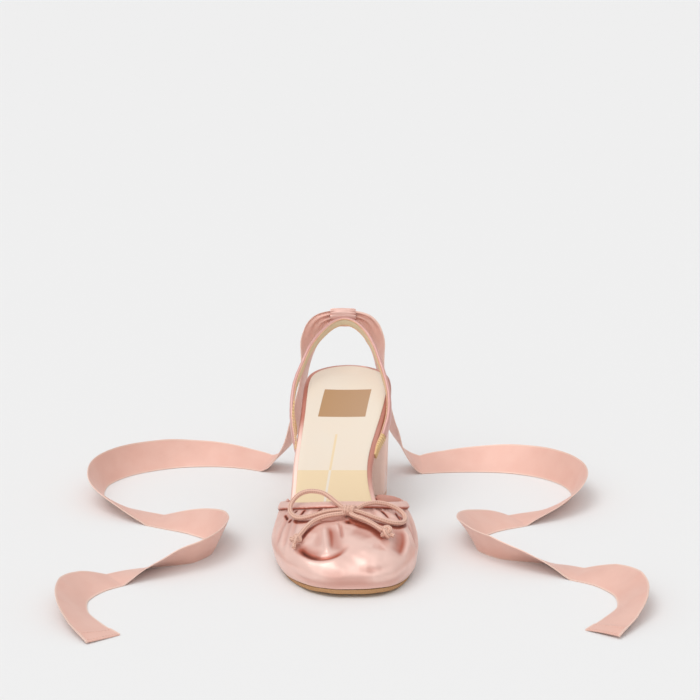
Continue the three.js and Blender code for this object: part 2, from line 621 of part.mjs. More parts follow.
const shoe = new THREE.Group();
shoe.add(piece('outsole', outsole(), FINISH.outsole));
shoe.add(piece('footbed', footbed(), FINISH.satin));
shoe.add(piece('sock_lining', sockLining(), FINISH.sock));
shoe.add(piece('block_heel', blockHeel(), FINISH.satin));
shoe.add(piece('heel_lift', heelLift(), FINISH.outsole));
shoe.add(piece('upper', upper(), FINISH.satin));
shoe.add(piece('topline_casing', toplineCasing(), FINISH.satinDusty));
shoe.add(piece('sling_strap', slingStrap(), FINISH.satinDusty));
shoe.add(piece('ribbon_keeper', ribbonKeeper(), FINISH.satinDusty));
shoe.add(piece('bow_knot', knot(KNOTS.bow), FINISH.cord));
shoe.add(piece('bow_loop_outer', cordTube(LOOP_OUTER), FINISH.cord));
shoe.add(piece('bow_loop_inner', cordTube(LOOP_INNER), FINISH.cord));
shoe.add(piece('bow_tail_outer', cordTube(TAIL_OUTER), FINISH.cord));
shoe.add(piece('bow_tail_inner', cordTube(TAIL_INNER), FINISH.cord));
shoe.add(piece('end_knot_outer', knot(KNOTS.outer), FINISH.cord));
shoe.add(piece('end_knot_inner', knot(KNOTS.inner), FINISH.cord));
shoe.add(piece('ribbon_tie_outer', ribbonTie(TIE_OUTER), FINISH.ribbon));
shoe.add(piece('ribbon_tie_inner', ribbonTie(TIE_INNER), FINISH.ribbon));
shoe.position.set(-SHOE_CENTRE.x, -SHOE_CENTRE.y, 0);

export default shoe;
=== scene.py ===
"""A right high heel shoe: satin slingback on a block heel, with a cord bow and long ribbon ties.

Shapes are worked out in millimetres from the toe tip backward (y), from the middle of the toe
towards the big toe's side (x) and up from the floor (z). The frame's origin lies under the middle
of the shoe, so each piece is moved by SHOE_CENTRE and scaled to metres as it is added.
"""

import math

import bpy
import numpy as np
from bpy.props import FloatProperty, FloatVectorProperty, PointerProperty
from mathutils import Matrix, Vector

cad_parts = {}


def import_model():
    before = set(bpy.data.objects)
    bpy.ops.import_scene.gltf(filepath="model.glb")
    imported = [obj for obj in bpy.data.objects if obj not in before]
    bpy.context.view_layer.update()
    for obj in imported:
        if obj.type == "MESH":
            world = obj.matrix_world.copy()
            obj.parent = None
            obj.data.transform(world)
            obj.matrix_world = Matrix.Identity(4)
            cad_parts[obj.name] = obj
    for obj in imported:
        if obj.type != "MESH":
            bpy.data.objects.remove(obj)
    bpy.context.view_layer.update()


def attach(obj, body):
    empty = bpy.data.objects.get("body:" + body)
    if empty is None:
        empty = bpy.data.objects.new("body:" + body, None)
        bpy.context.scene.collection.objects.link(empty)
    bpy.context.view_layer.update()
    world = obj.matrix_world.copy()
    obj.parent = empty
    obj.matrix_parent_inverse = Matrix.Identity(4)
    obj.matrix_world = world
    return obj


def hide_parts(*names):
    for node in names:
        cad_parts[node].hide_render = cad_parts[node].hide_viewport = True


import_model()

bl_info = {
    "name": "Satin Slingback Shoe",
    "version": (1, 0, 0),
    "blender": (4, 5, 0),
    "location": "View3D > Sidebar > Shoe",
    "description": "Dresses a packed high heel shoe in satin, leather, cord and ribbon",
    "category": "Object",
}

MM = 0.001
SOFTBOX_WAY = (-0.25, -0.62, 0.74)
KEY_WAY = (-0.35, -0.15, 0.92)
SHOE_CENTRE = np.array((-3.25, 115.1, 0.0))

# Driving sizes in millimetres, as in the solids
MEET_GAP = 0.3
OUTSOLE_THICK = 2.5
FOOTBED_THICK = {"forefoot": 3.2, "waist": 5.6, "from": 72, "to": 122}
FLAT_TOP = OUTSOLE_THICK + MEET_GAP + FOOTBED_THICK["forefoot"]
UPPER_WALL = 1.6
FEATHER_RAISE = 0.15
FEATHER_OUT = 0.6
WELT_MARGIN = {"forefoot": 2.6, "waist": -1, "from": 96, "to": 124}
SEAT_DISH = 1.3
SOCK = {"thick": 1, "margin": 3.2, "from": 0.02, "to": 0.997}
WING_END = 111
CASING = {"wide": 7, "thick": 1, "height_share": 0.55, "inside": 4.5}
HEEL = {"breast": 171.8, "breast_gap": 0.6, "inset": 0.8, "lean": 3, "taper": 0.93, "back": 7,
        "lift_thick": 3, "corner": 2.4}
KEEPER = {"x": -4.8, "y": 227.6, "z": 113.5, "long": 17.5, "tall": 12.6, "deep": 5.8, "wall": 1.1,
          "square": 0.6}
TIE = {"wide": 22, "gathered": 9, "spread_over": 32}

# The upper's wall: where its curve's two handles lie as shares, at the wings and at the toe, and
# how far it swells out in the middle and at the outer (lateral) and inner (medial) side
WALL_PATH = {
    "low": {"reach": (-0.03, -0.03), "height": (0.4, 0.56)},
    "high": {"reach": (0.5, 0.24), "height": (0.9, 0.76)},
}
SWELL = {"middle": 1.6, "lateral": 6.8, "medial": 5}

# Sizes that only the visual model has, in millimetres: the satin's turn round the heel end of the
# footbed, where the seat's hollow fades out, and the satin drawn over the sole's edge
HEEL_LIP = 0.6
DISH_ENDS = (222.5, 210)
SOLE_COVER = {"out": 1.1, "height": 5, "reach": 3.4, "toe": (10, 32), "waist": (96, 76)}

# Where the strap's elastic, satin and lining begin and end, as shares of the way along it
ELASTIC = {"outer": (0.0, 0.165), "inner": (0.82, 1.0), "comes_out": (0.885, 0.905),
           "satin_ends": 0.9, "lining_ends": 0.84}

# Each turn of cord round the bow's knot: its shift across, its lean and its reach to the front
KNOT_WRAPS = ((-2.0, 0.5, 3.8), (0.2, 0.9, 3.4), (2.6, 1.1, 2.7))

# The mark fold paints light and shade into the satin's colour: below 0 a painted highlight on a lit
# ridge, 1 painted shade deep in a fold and 2 painted shadow where no light falls in
FOLD = {"lit": -0.6, "dark": 2, "gather_depth": 1.5, "gather_lit": -0.3, "gather_dark": 0.55,
        "crease_depth": 2.3, "crease_lit": -0.35, "spread": 1.05, "cord_shade": 1.5,
        "cord_shadow": (0.2, -1.5, -1.2), "shadow_soft": 0.7}

# The sole's outline and the height of the footbed's top: y, outer edge x, inner edge x, top z
LAST = np.array([
    (3.2, -7, 9, 8.7), (5.2, -14, 16.5, 8.3), (10, -21.5, 23, 7.7), (18, -27.8, 28.2, 6.9),
    (29, -33.6, 32.2, 6.2), (42, -38, 34.8, 6), (56, -40.5, 35.2, 6), (70, -41.3, 33.2, 6),
    (82, -40.8, 28.6, 8.8), (94, -39.6, 22.6, 14.6), (106, -38.5, 17.6, 22.6),
    (118, -37.6, 14.8, 31), (130, -37, 14.5, 39.2), (142, -35.8, 16.7, 47),
    (154, -34.4, 20.2, 54.8), (167, -33, 24, 63), (180, -32, 26.8, 70.4), (192, -31, 27.8, 75.6),
    (202, -28.9, 26.4, 78.4), (210, -24.9, 22.8, 79.6), (216, -19, 17, 80.2),
    (220, -11.6, 9.8, 80.5), (222, -4, 2.6, 80.6),
])

# The topline of the upper, from the outer wing over the throat to the inner wing: x, y, z
TOPLINE = [
    (-39.4, 111.5, 22.2), (-42, 103, 24.1), (-42.8, 95, 26.5), (-39.8, 87.5, 28.5), (-30, 80, 30.8),
    (-15.5, 73.4, 33.7), (0, 70.5, 35), (15, 73.2, 33.7), (27, 79.6, 31.4), (34.6, 87.5, 29.4),
    (31.6, 95, 28.5), (25.2, 103, 27), (18.4, 111.5, 24.9),
]

# The sling strap's middle line: x, y, z, width, lean of its top edge inward in degrees, thickness.
# Both ends lie up to 2.2 mm off the solid's, nearer to the photo.
SLING = np.array([
    (-35.4, 143.6, 44.6, 4.6, 0, 1.4), (-36.4, 149.4, 49.6, 5.4, 0, 2.2),
    (-37.9, 157.6, 57.4, 6, 2, 2.8), (-38.6, 168.4, 68, 6, 4, 2.8), (-36.9, 180.4, 78.8, 6, 6, 2.8),
    (-32.4, 191.4, 88.4, 6, 8, 2.8), (-26.4, 203.4, 98.6, 6, 10, 2.8),
    (-18, 214, 106.4, 6, 12, 2.8), (-10.4, 220.8, 110.6, 6, 12, 2.8),
    (-3.8, 222.8, 111.8, 6, 12, 2.8), (2.8, 220.8, 110.6, 6, 12, 2.8),
    (9.4, 215, 106.6, 6, 12, 2.8), (15.4, 206, 99.6, 6, 12, 2.8), (19.6, 196.4, 91.2, 6, 12, 2.8),
    (23.2, 186, 82.6, 6, 10, 2.8), (25.8, 175, 73.2, 6, 8, 2.8), (25.8, 164.6, 62.6, 6, 5, 2.8),
    (22.5, 154, 52.8, 6, 3, 2.8), (18.3, 145.2, 46, 5.4, 0, 2.2), (16.6, 139.8, 42.4, 4.6, 0, 1.4),
])

# The bow: each cord starts in the knot, makes its loop, crosses the knot and runs out as a tail
CORD_OUTER = [
    (-1.4, 56.6, 36.4), (-4.2, 58, 36.4), (-7, 61.7, 37.3), (-9.8, 65.8, 38.2), (-12.8, 70, 39.2),
    (-16.8, 73.7, 40.3), (-21.9, 76.2, 40.6), (-26.8, 77.4, 40), (-30.9, 77.2, 38.5),
    (-34.3, 75.4, 36.2), (-36.4, 72.2, 34), (-37.2, 68, 32.2), (-36.4, 63.4, 30.7), (-33.8, 59, 30),
    (-30, 55.6, 30.5), (-25.1, 54, 31.9), (-20.1, 54.2, 33.4), (-14.5, 54.8, 34.8),
    (-8.8, 54.8, 35.7), (-5, 54.2, 36.1), (-2.4, 53, 35.9), (1.8, 49.4, 34.6), (4.6, 47.4, 34.1),
    (7.7, 45.4, 33.6), (11.1, 42.9, 32.9), (14.2, 40.2, 32.1), (17, 37.3, 31.2), (20, 34.2, 30.3),
]
CORD_INNER = [
    (0.4, 56.4, 36), (3.4, 56.9, 35.8), (6.2, 59, 36.7), (9, 61, 37.3), (12, 62.9, 37.4),
    (15.2, 64.7, 37.2), (18.9, 66.2, 36.4), (22.7, 67, 35.4), (26.6, 66.8, 33.9), (30.3, 66, 31.9),
    (33, 63.2, 30.1), (34, 58.7, 28.9), (32.9, 53.4, 28.7), (29.6, 49.2, 29.4), (24.9, 47.2, 30.6),
    (20, 47.2, 32), (14.9, 48.7, 33.3), (10.2, 50.8, 34.4), (6.8, 52.4, 35.2), (4, 53.1, 35.7),
    (1.2, 52.6, 36.6), (-1.6, 51.6, 36), (-4.2, 50.6, 35.3), (-7.7, 50, 35), (-11.5, 49.6, 34.6),
    (-15.7, 49, 33.8), (-19.7, 47.6, 32.8), (-23.4, 45, 31.5), (-26.4, 41.3, 29.9),
    (-28.8, 37.1, 28.5), (-31, 32.6, 27.2),
]
BOW_KNOT = (-0.6, 54.4, 35.9)

# The tails' end knots: the middle, half the breadth, the turn about y in degrees and the cut end
END_KNOTS = {
    "outer": {"at": (-32.8, 28.4, 26.7), "half": 4.1, "turn": 20, "end": (-33.8, 23.6, 23.2)},
    "inner": {"at": (22, 31.4, 30.1), "half": 4.9, "turn": 70, "end": (26.6, 29.6, 28.4)},
}

# The ribbon ties' middle lines from the keeper to the hemmed end: x, y, z, tilt in degrees
TIE_OUTER = np.array([
    (-5, 227.6, 113.5, 90), (-14.4, 227.6, 113.3, 90), (-20.6, 228, 110.4, 72),
    (-25, 228.8, 103, 42), (-28.2, 229.4, 91, 18), (-31, 229.8, 75, 5), (-33.8, 230.4, 57, 0),
    (-37.4, 231.8, 38, -2), (-43.6, 235, 19, -6), (-54.6, 241, 5.4, -13), (-72, 249, 0, -22),
    (-94, 252.6, 0, -34), (-117, 250, 0, -46), (-139, 241, 0, -56), (-158, 226, 0, -64),
    (-170, 205, 0, -68), (-172, 181, 0, -62), (-163, 159, 0, -44), (-144, 143, 0, -20),
    (-121, 130, 0, 8), (-99, 116, 0, 34), (-84, 97, 0, 56), (-82, 74, 0, 66), (-93, 54, 0, 60),
    (-114, 43, 0, 38), (-136, 33, 0, 8), (-154, 18, 0, -20), (-163, -3, 0, -38),
    (-161, -25, 0, -32), (-151, -45, 0, -14), (-139, -61, 0, -3),
])
TIE_INNER = np.array([
    (-4.6, 227.6, 113.5, 90), (4.8, 227.6, 113.3, 90), (11, 228, 110.3, 108),
    (15.4, 228.8, 102.8, 138), (18.6, 229.4, 90.8, 162), (21.4, 229.8, 74.8, 175),
    (24.4, 230.4, 56.8, 180), (28.6, 231.8, 37.8, 182), (35.4, 234.6, 18.6, 187), (47, 238, 5, 197),
    (67, 240.6, 0, 206), (90, 240.4, 0, 218), (113, 236, 0, 230), (134, 225, 0, 240),
    (149, 207, 0, 246), (155, 184, 0, 244), (149, 161, 0, 230), (132, 144, 0, 206),
    (110, 133, 0, 180), (89, 120, 0, 154), (76, 101, 0, 132), (76, 78, 0, 118), (90, 60, 0, 122),
    (111, 50, 0, 144), (134, 41, 0, 174), (154, 27, 0, 202), (165, 6, 0, 218), (165, -17, 0, 214),
    (155, -37, 0, 196), (143, -54, 0, 184),
])

# Pleats and creases of the toe: half width, rise above the skin (a trough is below it), tone, and
# the line over the satin. tone is the fold's painted shade, a painted highlight where it is below
# 0;
# None takes it from the depth.
CREASES = [
    (1.7, -1.3, 1.1, ((-31.6, 27.2, 22.6), (-29.7, 21.9, 21.8), (-26.6, 16.7, 21.1),
        (-22.6, 13.1, 20.9), (-17.8, 10.7, 21.2), (-13.1, 10, 21.9), (-8.9, 11.3, 22.9),
        (-5.1, 14.5, 24.2), (-1.8, 19, 25.7))),
    (2.8, 0.4, -0.1, ((-32.4, 22.9, 20.8), (-28, 14.5, 19.2), (-22.6, 9.5, 18.9),
        (-16.6, 6.8, 19.3), (-10.7, 6.7, 20.3), (-5.3, 9.4, 22.1), (-0.6, 15, 24.4))),
    (2.0, 1.4, -0.3, ((-16.1, 43.2, 29.8), (-15.4, 34.6, 28.5), (-14.8, 25.5, 26.8),
        (-14, 18.5, 25), (-12.9, 14, 23.5))),
    (3.0, -0.8, 0.35, ((-22.8, 44.4, 28.7), (-20.9, 35.8, 27.7), (-19.4, 27.9, 26.5),
        (-19.6, 19.9, 24.4))),
    (3.6, -1.0, 0.62, ((-11.2, 42, 30.2), (-9.7, 31.3, 28.5), (-7.8, 21.6, 26.3),
        (-6.3, 15, 24.4))),
    (1.0, -1.2, None, ((-6.3, 45.5, 31.2), (-5.3, 36.5, 29.7), (-4.7, 27.6, 27.9))),
    (1.2, 0.6, None, ((-8.2, 43.9, 30.8), (-7.3, 35.5, 29.4))),
    (1.3, -0.9, 0.9, ((-19.6, 50.1, 30.2), (-15.3, 49.9, 30.9), (-11, 48.7, 31.3),
        (-5.5, 51.4, 32.1))),
    (1.9, -0.7, 1.7, ((-1.7, 49, 31.9), (-0.3, 44, 31.1))),
    (2.2, -1.0, 1.25, ((0.6, 46.4, 31.5), (4.9, 43.5, 31), (9.7, 41, 30.3), (14.8, 37.1, 29.1),
        (18.1, 31.9, 27.6), (20.5, 27.2, 26.2))),
    (5.5, -0.8, 0.5, ((1.2, 37.5, 30), (7.3, 34.2, 29.3), (13.2, 28.4, 27.6))),
    (4.2, -1.4, 0.75, ((29, 48.4, 27.2), (30, 38.1, 25.3), (29.4, 26.9, 23), (26.9, 18.8, 21.7))),
    (2.2, 1.0, None, ((32.1, 49.1, 26), (34.7, 41.9, 23.5), (34.8, 31.1, 20.8),
        (31.7, 19.9, 18.7))),
    (1.2, -1.0, None, ((35.2, 60, 25.9), (38.6, 50, 22.1), (39.9, 39.6, 17.6))),
    (3.6, -0.7, None, ((13.2, 21.2, 25.9), (16.7, 20, 25.1), (20.3, 22.1, 24.9))),
    (5.0, 0.8, None, ((6, 17.8, 25.3), (12, 13.4, 23.5), (20, 12.1, 21.6))),
    (2.2, -0.7, None, ((5, 3.1, 17.7), (11.8, 2.8, 17.1), (17.8, 4.3, 16.9), (26, 9.7, 16.6))),
    (2.4, -0.4, None, ((-18, 3.7, 15.2), (-10.6, 1.6, 15.1), (-3, 1.4, 15.8))),
    (2.6, -0.9, None, ((-33.9, 17.2, 10.4), (-29, 11.5, 8.6), (-23.2, 6.4, 8.4), (-11.8, 1.1, 8.1),
        (1.2, 0.1, 8.1), (14.8, 1.4, 8), (28.1, 10.2, 8.3), (34.8, 21.6, 9.4))),
    (1.8, -1.0, None, ((-37.9, 71.9, 27.3), (-40.8, 60.7, 24.7), (-43.4, 48.8, 21.2),
        (-44.5, 41.2, 17.6))),
    (1.8, -0.9, None, ((-35.3, 66.9, 27.7), (-37.7, 52.5, 25), (-39.6, 40, 21.9),
        (-40.5, 30.7, 17.7))),
    (1.8, -0.8, None, ((-32.7, 59.4, 27.8), (-34.6, 47.6, 25.6), (-35.8, 36.7, 23.2),
        (-36.7, 28, 20))),
    (2.0, -0.9, None, ((37.3, 69.3, 25.6), (39.4, 56.7, 22.2), (40.3, 44.8, 18.9))),
    (0.8, -0.5, 2.0, ((18.8, 65.6, 32.1), (21.3, 61.8, 31.1), (23.7, 56.2, 29.9))),
    (0.8, -0.5, 2.0, ((28.3, 68.4, 29.7), (30.9, 58.7, 27.7))),
    (0.7, -0.5, 2.0, ((-34.4, 70.6, 28.4), (-32.7, 72.8, 29.2))),
    (0.8, -0.5, 2.0, ((-30.6, 64.9, 29), (-29.2, 68.4, 29.9), (-28, 70.9, 30.4))),
    (0.8, -0.5, 2.0, ((-19.9, 64.5, 31.8), (-18.1, 66.7, 32.5))),
    (0.8, -0.5, 2.0, ((-40.7, 72.8, 26.2), (-38.9, 65.6, 26.1))),
    (0.8, -0.5, 2.0, ((-36.4, 63.7, 27), (-38, 60.2, 25.9))),
    (1.6, 0.9, None, ((16.1, 64.3, 32.5), (18.2, 60.3, 31.7), (20.6, 56, 30.6))),
    (1.5, 0.7, None, ((24.8, 65.9, 30.6), (27.4, 59.4, 29.1))),
    (1.5, 0.7, None, ((-26.3, 64.3, 30.2), (-24.2, 68, 31.2))),
    (3.0, -0.5, None, ((9.5, 3.6, 18.1), (15.4, 3.8, 17.3), (20.2, 6.2, 17.7))),
    (3.2, -0.9, 0.7, ((-30.4, 26.8, 23.1), (-28.2, 22.8, 22.7), (-25.1, 19, 22.6),
        (-21.5, 15.8, 22.5), (-16.7, 13.4, 22.8))),
    (3.6, 0.2, -0.6, ((-41.2, 36.1, 19.5), (-39.2, 26.4, 16.2), (-35.4, 18.7, 12.1))),
    (4.5, 0, -0.4, ((-31.7, 16, 17), (-27.4, 9.6, 14.4), (-18.9, 4, 14.7))),
    (4.5, 0, -0.4, ((13, 1.8, 15), (20.1, 4, 14.7), (26.8, 10.5, 16.6))),
    (3.2, -0.3, 0.35, ((-16.6, 2.2, 12.3), (-5.9, 0.1, 11.9), (4.7, 0.1, 11.9), (14.2, 1.1, 12.4))),
    (1.3, -0.5, 0.6, ((-12.9, 43.6, 30.3), (-11.8, 33.8, 28.8), (-11.3, 25, 27),
        (-11.1, 17.1, 24.9))),
    (1.3, -0.2, 0.55, ((-30, 23.9, 22.3), (-26.9, 18, 21.6), (-22.6, 13.9, 21.4),
        (-17.2, 11.2, 21.7))),
    (1.6, -0.3, 0.5, ((31.5, 49.2, 26.3), (32.7, 38.1, 23.9), (31.9, 27.2, 21.7), (29, 18.1, 20))),
    (2.2, 0.3, -0.45, ((-21.8, 39, 28.1), (-23.5, 31.7, 26.4), (-26.8, 27.3, 24.5))),
]

# Where the sock's colours change, in the shoe's own places
SOCK_MARKS = {"tan_from": 126, "line_x": (-8.9, -12.9), "line_y": (151.5, 126), "line_wide": 1.5,
              "patch_x": (-19, 12.3), "patch_y": (164.4, 187.4), "patch_slant": 0.19}


# Curves and small sums

def mix(low, high, share):
    return low + (high - low) * share


def ease(low, high, value):
    share = np.clip((value - low) / (high - low), 0, 1)
    return share * share * (3 - 2 * share)


def unit(vectors):
    return vectors / np.linalg.norm(vectors, axis=-1, keepdims=True)


def signed_power(value, power):
    return np.sign(value) * np.abs(value) ** power


class Spline:
    """A smooth curve through points, read by its share of rows or by its share of length."""

    FINE = np.linspace(0, 1, 201)

    def __init__(self, points):
        self.points = np.asarray(points, float)
        steps = np.linalg.norm(np.diff(self.at(self.FINE), axis=0), axis=1)
        self.reached = np.concatenate(([0], np.cumsum(steps)))
        self.length = self.reached[-1]

    def at(self, share):
        """Points of the centripetal curve."""
        p = self.points
        place = np.clip(np.asarray(share, float), 0, 1) * (len(p) - 1)
        row = np.minimum(place.astype(int), len(p) - 2)
        part = (place - row)[..., None]
        rows = np.vstack((2 * p[0] - p[1], p, 2 * p[-1] - p[-2]))
        a, b, c, d = (rows[row + k] for k in range(4))
        ab, bc, cd = (np.sqrt(np.linalg.norm(v - u, axis=-1, keepdims=True))
                      for u, v in ((a, b), (b, c), (c, d)))
        out = ((b - a) / ab - (c - a) / (ab + bc) + (c - b) / bc) * bc
        into = ((c - b) / bc - (d - b) / (bc + cd) + (d - c) / cd) * bc
        return (b + out * part + (3 * (c - b) - 2 * out - into) * part**2
                + (2 * (b - c) + out + into) * part**3)

    def share_of_length(self, share):
        return np.interp(np.asarray(share) * self.length, self.reached, self.FINE)

    def direction(self, share, step=1e-4):
        share = np.asarray(share, float)
        return unit(self.at(share + step) - self.at(share - step))


def column(rows, number, share):
    """A column of a table between its rows."""
    return np.interp(np.asarray(share) * (len(rows) - 1), np.arange(len(rows)), rows[:, number])


def turned(vectors, axes, degrees):
    """Vectors turned about unit axes that stand square to them."""
    angle = np.radians(degrees)[..., None]
    return vectors * np.cos(angle) + np.cross(axes, vectors) * np.sin(angle)


def ripple(points, wave, seed, waves=10):
    """A soft unevenness from -1 to 1 of a given wave length, the same on each run."""
    random = np.random.default_rng(seed)
    ways = unit(random.normal(size=(waves, 3))) * (2 * np.pi / wave)
    ways = ways * random.uniform(0.6, 1.5, size=(waves, 1))
    starts = random.uniform(0, 2 * np.pi, waves)
    return np.sin(points @ ways.T + starts).sum(axis=-1) / math.sqrt(waves) / 1.4


def near_line(points, line):
    """How far points lie from a line of straight steps, and the share of it nearest to them."""
    nearest = np.full(points.shape[:-1], np.inf)
    share = np.zeros(points.shape[:-1])
    for i, (start, end) in enumerate(zip(line[:-1], line[1:])):
        step = end - start
        part = np.clip(((points - start) @ step) / (step @ step), 0, 1)
        far = np.linalg.norm(points - start - part[..., None] * step, axis=-1)
        closer = far < nearest
        nearest = np.where(closer, far, nearest)
        share = np.where(closer, (i + part) / (len(line) - 1), share)
    return nearest, share


# The last: the footbed's edges, its top and the upper's face, as in the solids

EDGE = {"lateral": Spline(LAST[:, (1, 0, 3)]), "medial": Spline(LAST[:, (2, 0, 3)])}
FINE_SHARES = np.linspace(0, 1, 4001)
FINE_EDGE = EDGE["lateral"].at(FINE_SHARES)


def share_at(y):
    return np.interp(y, FINE_EDGE[:, 1], FINE_SHARES)


def footbed_top(y):
    return np.maximum(FLAT_TOP, np.interp(y, FINE_EDGE[:, 1], FINE_EDGE[:, 2]))


def eased(size, y):
    return mix(size["forefoot"], size["waist"], ease(size["from"], size["to"], y))


def edge_point(side, share, outward):
    """Points of the footbed's edge moved outward in plan, at the height of its top."""
    point = EDGE[side].at(share)
    way = EDGE[side].direction(share)
    flat = np.hypot(way[..., 0], way[..., 1])
    turn = 1 if side == "lateral" else -1
    point[..., 0] -= turn * outward * way[..., 1] / flat
    point[..., 1] += turn * outward * way[..., 0] / flat
    point[..., 2] = footbed_top(point[..., 1])
    return point


def dish(y, across):
    """How deep the seat is hollowed. Only here does the hollow fade out at the heel's end."""
    return SEAT_DISH * ease(120, 195, y) * ease(*DISH_ENDS, y) * (1 - (2 * across - 1) ** 2)


def footbed_under(y):
    return footbed_top(y) - eased(FOOTBED_THICK, y)


def outsole_top(y):
    return np.maximum(footbed_under(y) - MEET_GAP, OUTSOLE_THICK)


def feather_line():
    way = np.linspace(0, share_at(WING_END), 22)
    outward = MEET_GAP + UPPER_WALL + FEATHER_OUT
    lateral = edge_point("lateral", way, outward)[::-1]
    medial = edge_point("medial", way, outward)
    line = np.vstack((lateral, medial))
    line[:, 2] = footbed_under(line[:, 1]) + FEATHER_RAISE
    return Spline(line)


FEATHER = feather_line()
TOP = Spline(TOPLINE)


def wall_share(rise, toe, way):
    low = mix(*WALL_PATH["low"][way], toe)
    high = mix(*WALL_PATH["high"][way], toe)
    return 3 * rise * (1 - rise) ** 2 * low + 3 * rise**2 * (1 - rise) * high + rise**3


def upper_face(along, rise):
    """The upper's outer face: along from wing to wing, rise from sole to topline."""
    along, rise = np.broadcast_arrays(along, rise)
    at_foot = FEATHER.share_of_length(along)
    foot = FEATHER.at(at_foot)
    top = TOP.at(TOP.share_of_length(along))
    way = FEATHER.direction(at_foot)
    flat = np.hypot(way[..., 0], way[..., 1])
    from_middle = np.abs(along - 0.5)
    toe = ease(0, 0.34, 0.5 - from_middle)
    side = np.sin(np.pi * np.minimum(1, from_middle / 0.45)) ** 1.5
    most = mix(SWELL["middle"], np.where(along < 0.5, SWELL["lateral"], SWELL["medial"]), side)
    swell = most * ease(0, 0.16, 0.5 - from_middle) * np.abs(np.sin(np.pi * rise**0.75)) ** 1.2
    reach = wall_share(rise, toe, "reach")
    height = wall_share(rise, toe, "height")
    return np.stack((
        mix(foot[..., 0], top[..., 0], reach) + swell * way[..., 1] / flat,
        mix(foot[..., 1], top[..., 1], reach) - swell * way[..., 0] / flat,
        mix(foot[..., 2], top[..., 2], height),
    ), axis=-1)


def upper_frame(along, rise):
    """Points of the face with the ways out of it and up it."""
    step = 0.004
    across = (upper_face(np.minimum(1, along + step), rise)
              - upper_face(np.maximum(0, along - step), rise))
    up = (upper_face(along, np.minimum(1, rise + step))
          - upper_face(along, np.maximum(0, rise - step)))
    return upper_face(along, rise), unit(np.cross(across, up)), unit(up)


def casing_rise(along):
    """The rise at which the casing's lower edge lies, and the wall's whole length there."""
    rise = np.linspace(0, 1, 61)
    points = upper_face(along[:, None], rise[None, :])
    cells = np.linalg.norm(np.diff(points, axis=1), axis=-1)
    reached = np.concatenate((np.zeros((len(along), 1)), np.cumsum(cells, axis=1)), axis=1)
    whole = reached[:, -1]
    goal = whole - np.minimum(CASING["wide"], CASING["height_share"] * whole)
    return np.array([np.interp(g, row, rise) for g, row in zip(goal, reached)]), reached, rise


# Meshes

def lofted(rings, endless=False):
    """Rings of points with the faces over them. The ends are capped, or meet if it is endless."""
    count, sides = rings.shape[:2]
    faces = []
    for i in range(count if endless else count - 1):
        here, there = i * sides, (i + 1) % count * sides
        for j in range(sides):
            k = (j + 1) % sides
            faces.append((here + j, here + k, there + k, there + j))
    if not endless:
        last = (count - 1) * sides
        faces.append(tuple(range(sides))[::-1])
        faces.append(tuple(range(last, last + sides)))
    return rings, faces


def facing_out(points, faces):
    """The faces of a closed body, turned so that they face out of it."""
    volume = sum(np.dot(points[f[0]], np.cross(points[f[k]], points[f[k + 1]]))
                 for f in faces for k in range(1, len(f) - 1))
    return faces if volume > 0 else [f[::-1] for f in faces]


def add_piece(name, points, faces, materials, slot, stands_for=(), marks=None, kinds=None,
              sharp=50):
    """Adds a piece to the shoe. marks are numbers kept on its points, kinds its faces' finishes."""
    points = np.asarray(points, float).reshape(-1, 3)
    mesh = bpy.data.meshes.new(name)
    mesh.from_pydata(((points - SHOE_CENTRE) * MM).tolist(), [], facing_out(points, faces))
    for material in materials:
        mesh.materials.append(material)
    if kinds is not None:
        mesh.polygons.foreach_set("material_index", np.asarray(kinds, np.int32))
    for mark, values in (marks or {}).items():
        layer = mesh.attributes.new(mark, "FLOAT", "POINT")
        layer.data.foreach_set("value", np.asarray(values, np.float32).ravel())
    mesh.polygons.foreach_set("use_smooth", np.ones(len(mesh.polygons), bool))
    mesh.set_sharp_from_angle(angle=math.radians(sharp))
    mesh.update()
    piece = bpy.data.objects.new(name, mesh)
    bpy.context.scene.collection.objects.link(piece)
    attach(piece, "root")
    if stands_for:
        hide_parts(*stands_for)
    return piece


def round_edges(piece, wide):
    """Softens a piece's hard edges by a bevel of that width in millimetres."""
    bevel = piece.modifiers.new("Rounded edges", "BEVEL")
    bevel.width = wide * MM
    bevel.segments = 3
    bevel.limit_method = "ANGLE"
    bevel.angle_limit = math.radians(35)


def tube(line, radius, sides=12, shape=None):
    """Rings round a line of points. shape gives the radius at each ring and angle, if it varies."""
    ways = unit(np.gradient(line, axis=0))
    first = (0.0, 0.0, 1.0) if abs(ways[0][2]) < 0.9 else (1.0, 0.0, 0.0)
    side = unit(np.cross(ways[0], first))
    angles = np.linspace(0, 2 * np.pi, sides, endpoint=False)
    rings = []
    for i, (point, way) in enumerate(zip(line, ways)):
        side = unit(side - way * (side @ way))
        other = np.cross(way, side)
        far = radius if shape is None else shape(i, angles)
        rings.append(point + np.outer(np.cos(angles) * far, side)
                     + np.outer(np.sin(angles) * far, other))
    return np.array(rings)


def joined(parts):
    """Several bodies as one: their points in one list and their faces renumbered."""
    points, faces, count = [], [], 0
    for part_points, part_faces in parts:
        part_points = np.asarray(part_points).reshape(-1, 3)
        points.append(part_points)
        faces += [tuple(count + k for k in f) for f in facing_out(part_points, part_faces)]
        count += len(part_points)
    return np.vstack(points), faces


def stitch(start, end, out, thread):
    """One stitch: a short bead of thread that dips into the cloth at both ends."""
    shares = np.linspace(0, 1, 7)
    bow = np.sin(np.pi * shares)
    line = start + np.outer(shares, end - start) + np.outer(bow - 0.35, out) * thread * 0.6
    swell = 0.35 + 0.65 * bow
    return lofted(tube(line, thread / 2, 6, lambda i, angles: thread / 2 * swell[i] + 0 * angles))


# Materials

# Painted highlight for the satin's brightest ridges, painted shadow for its deepest slits, and the
# painted shade between a thread's twists
SATIN_LIT, SATIN_SLIT_SHADOW, THREAD_SHADE = "FFF1EC", "56291F", "9C6B5C"


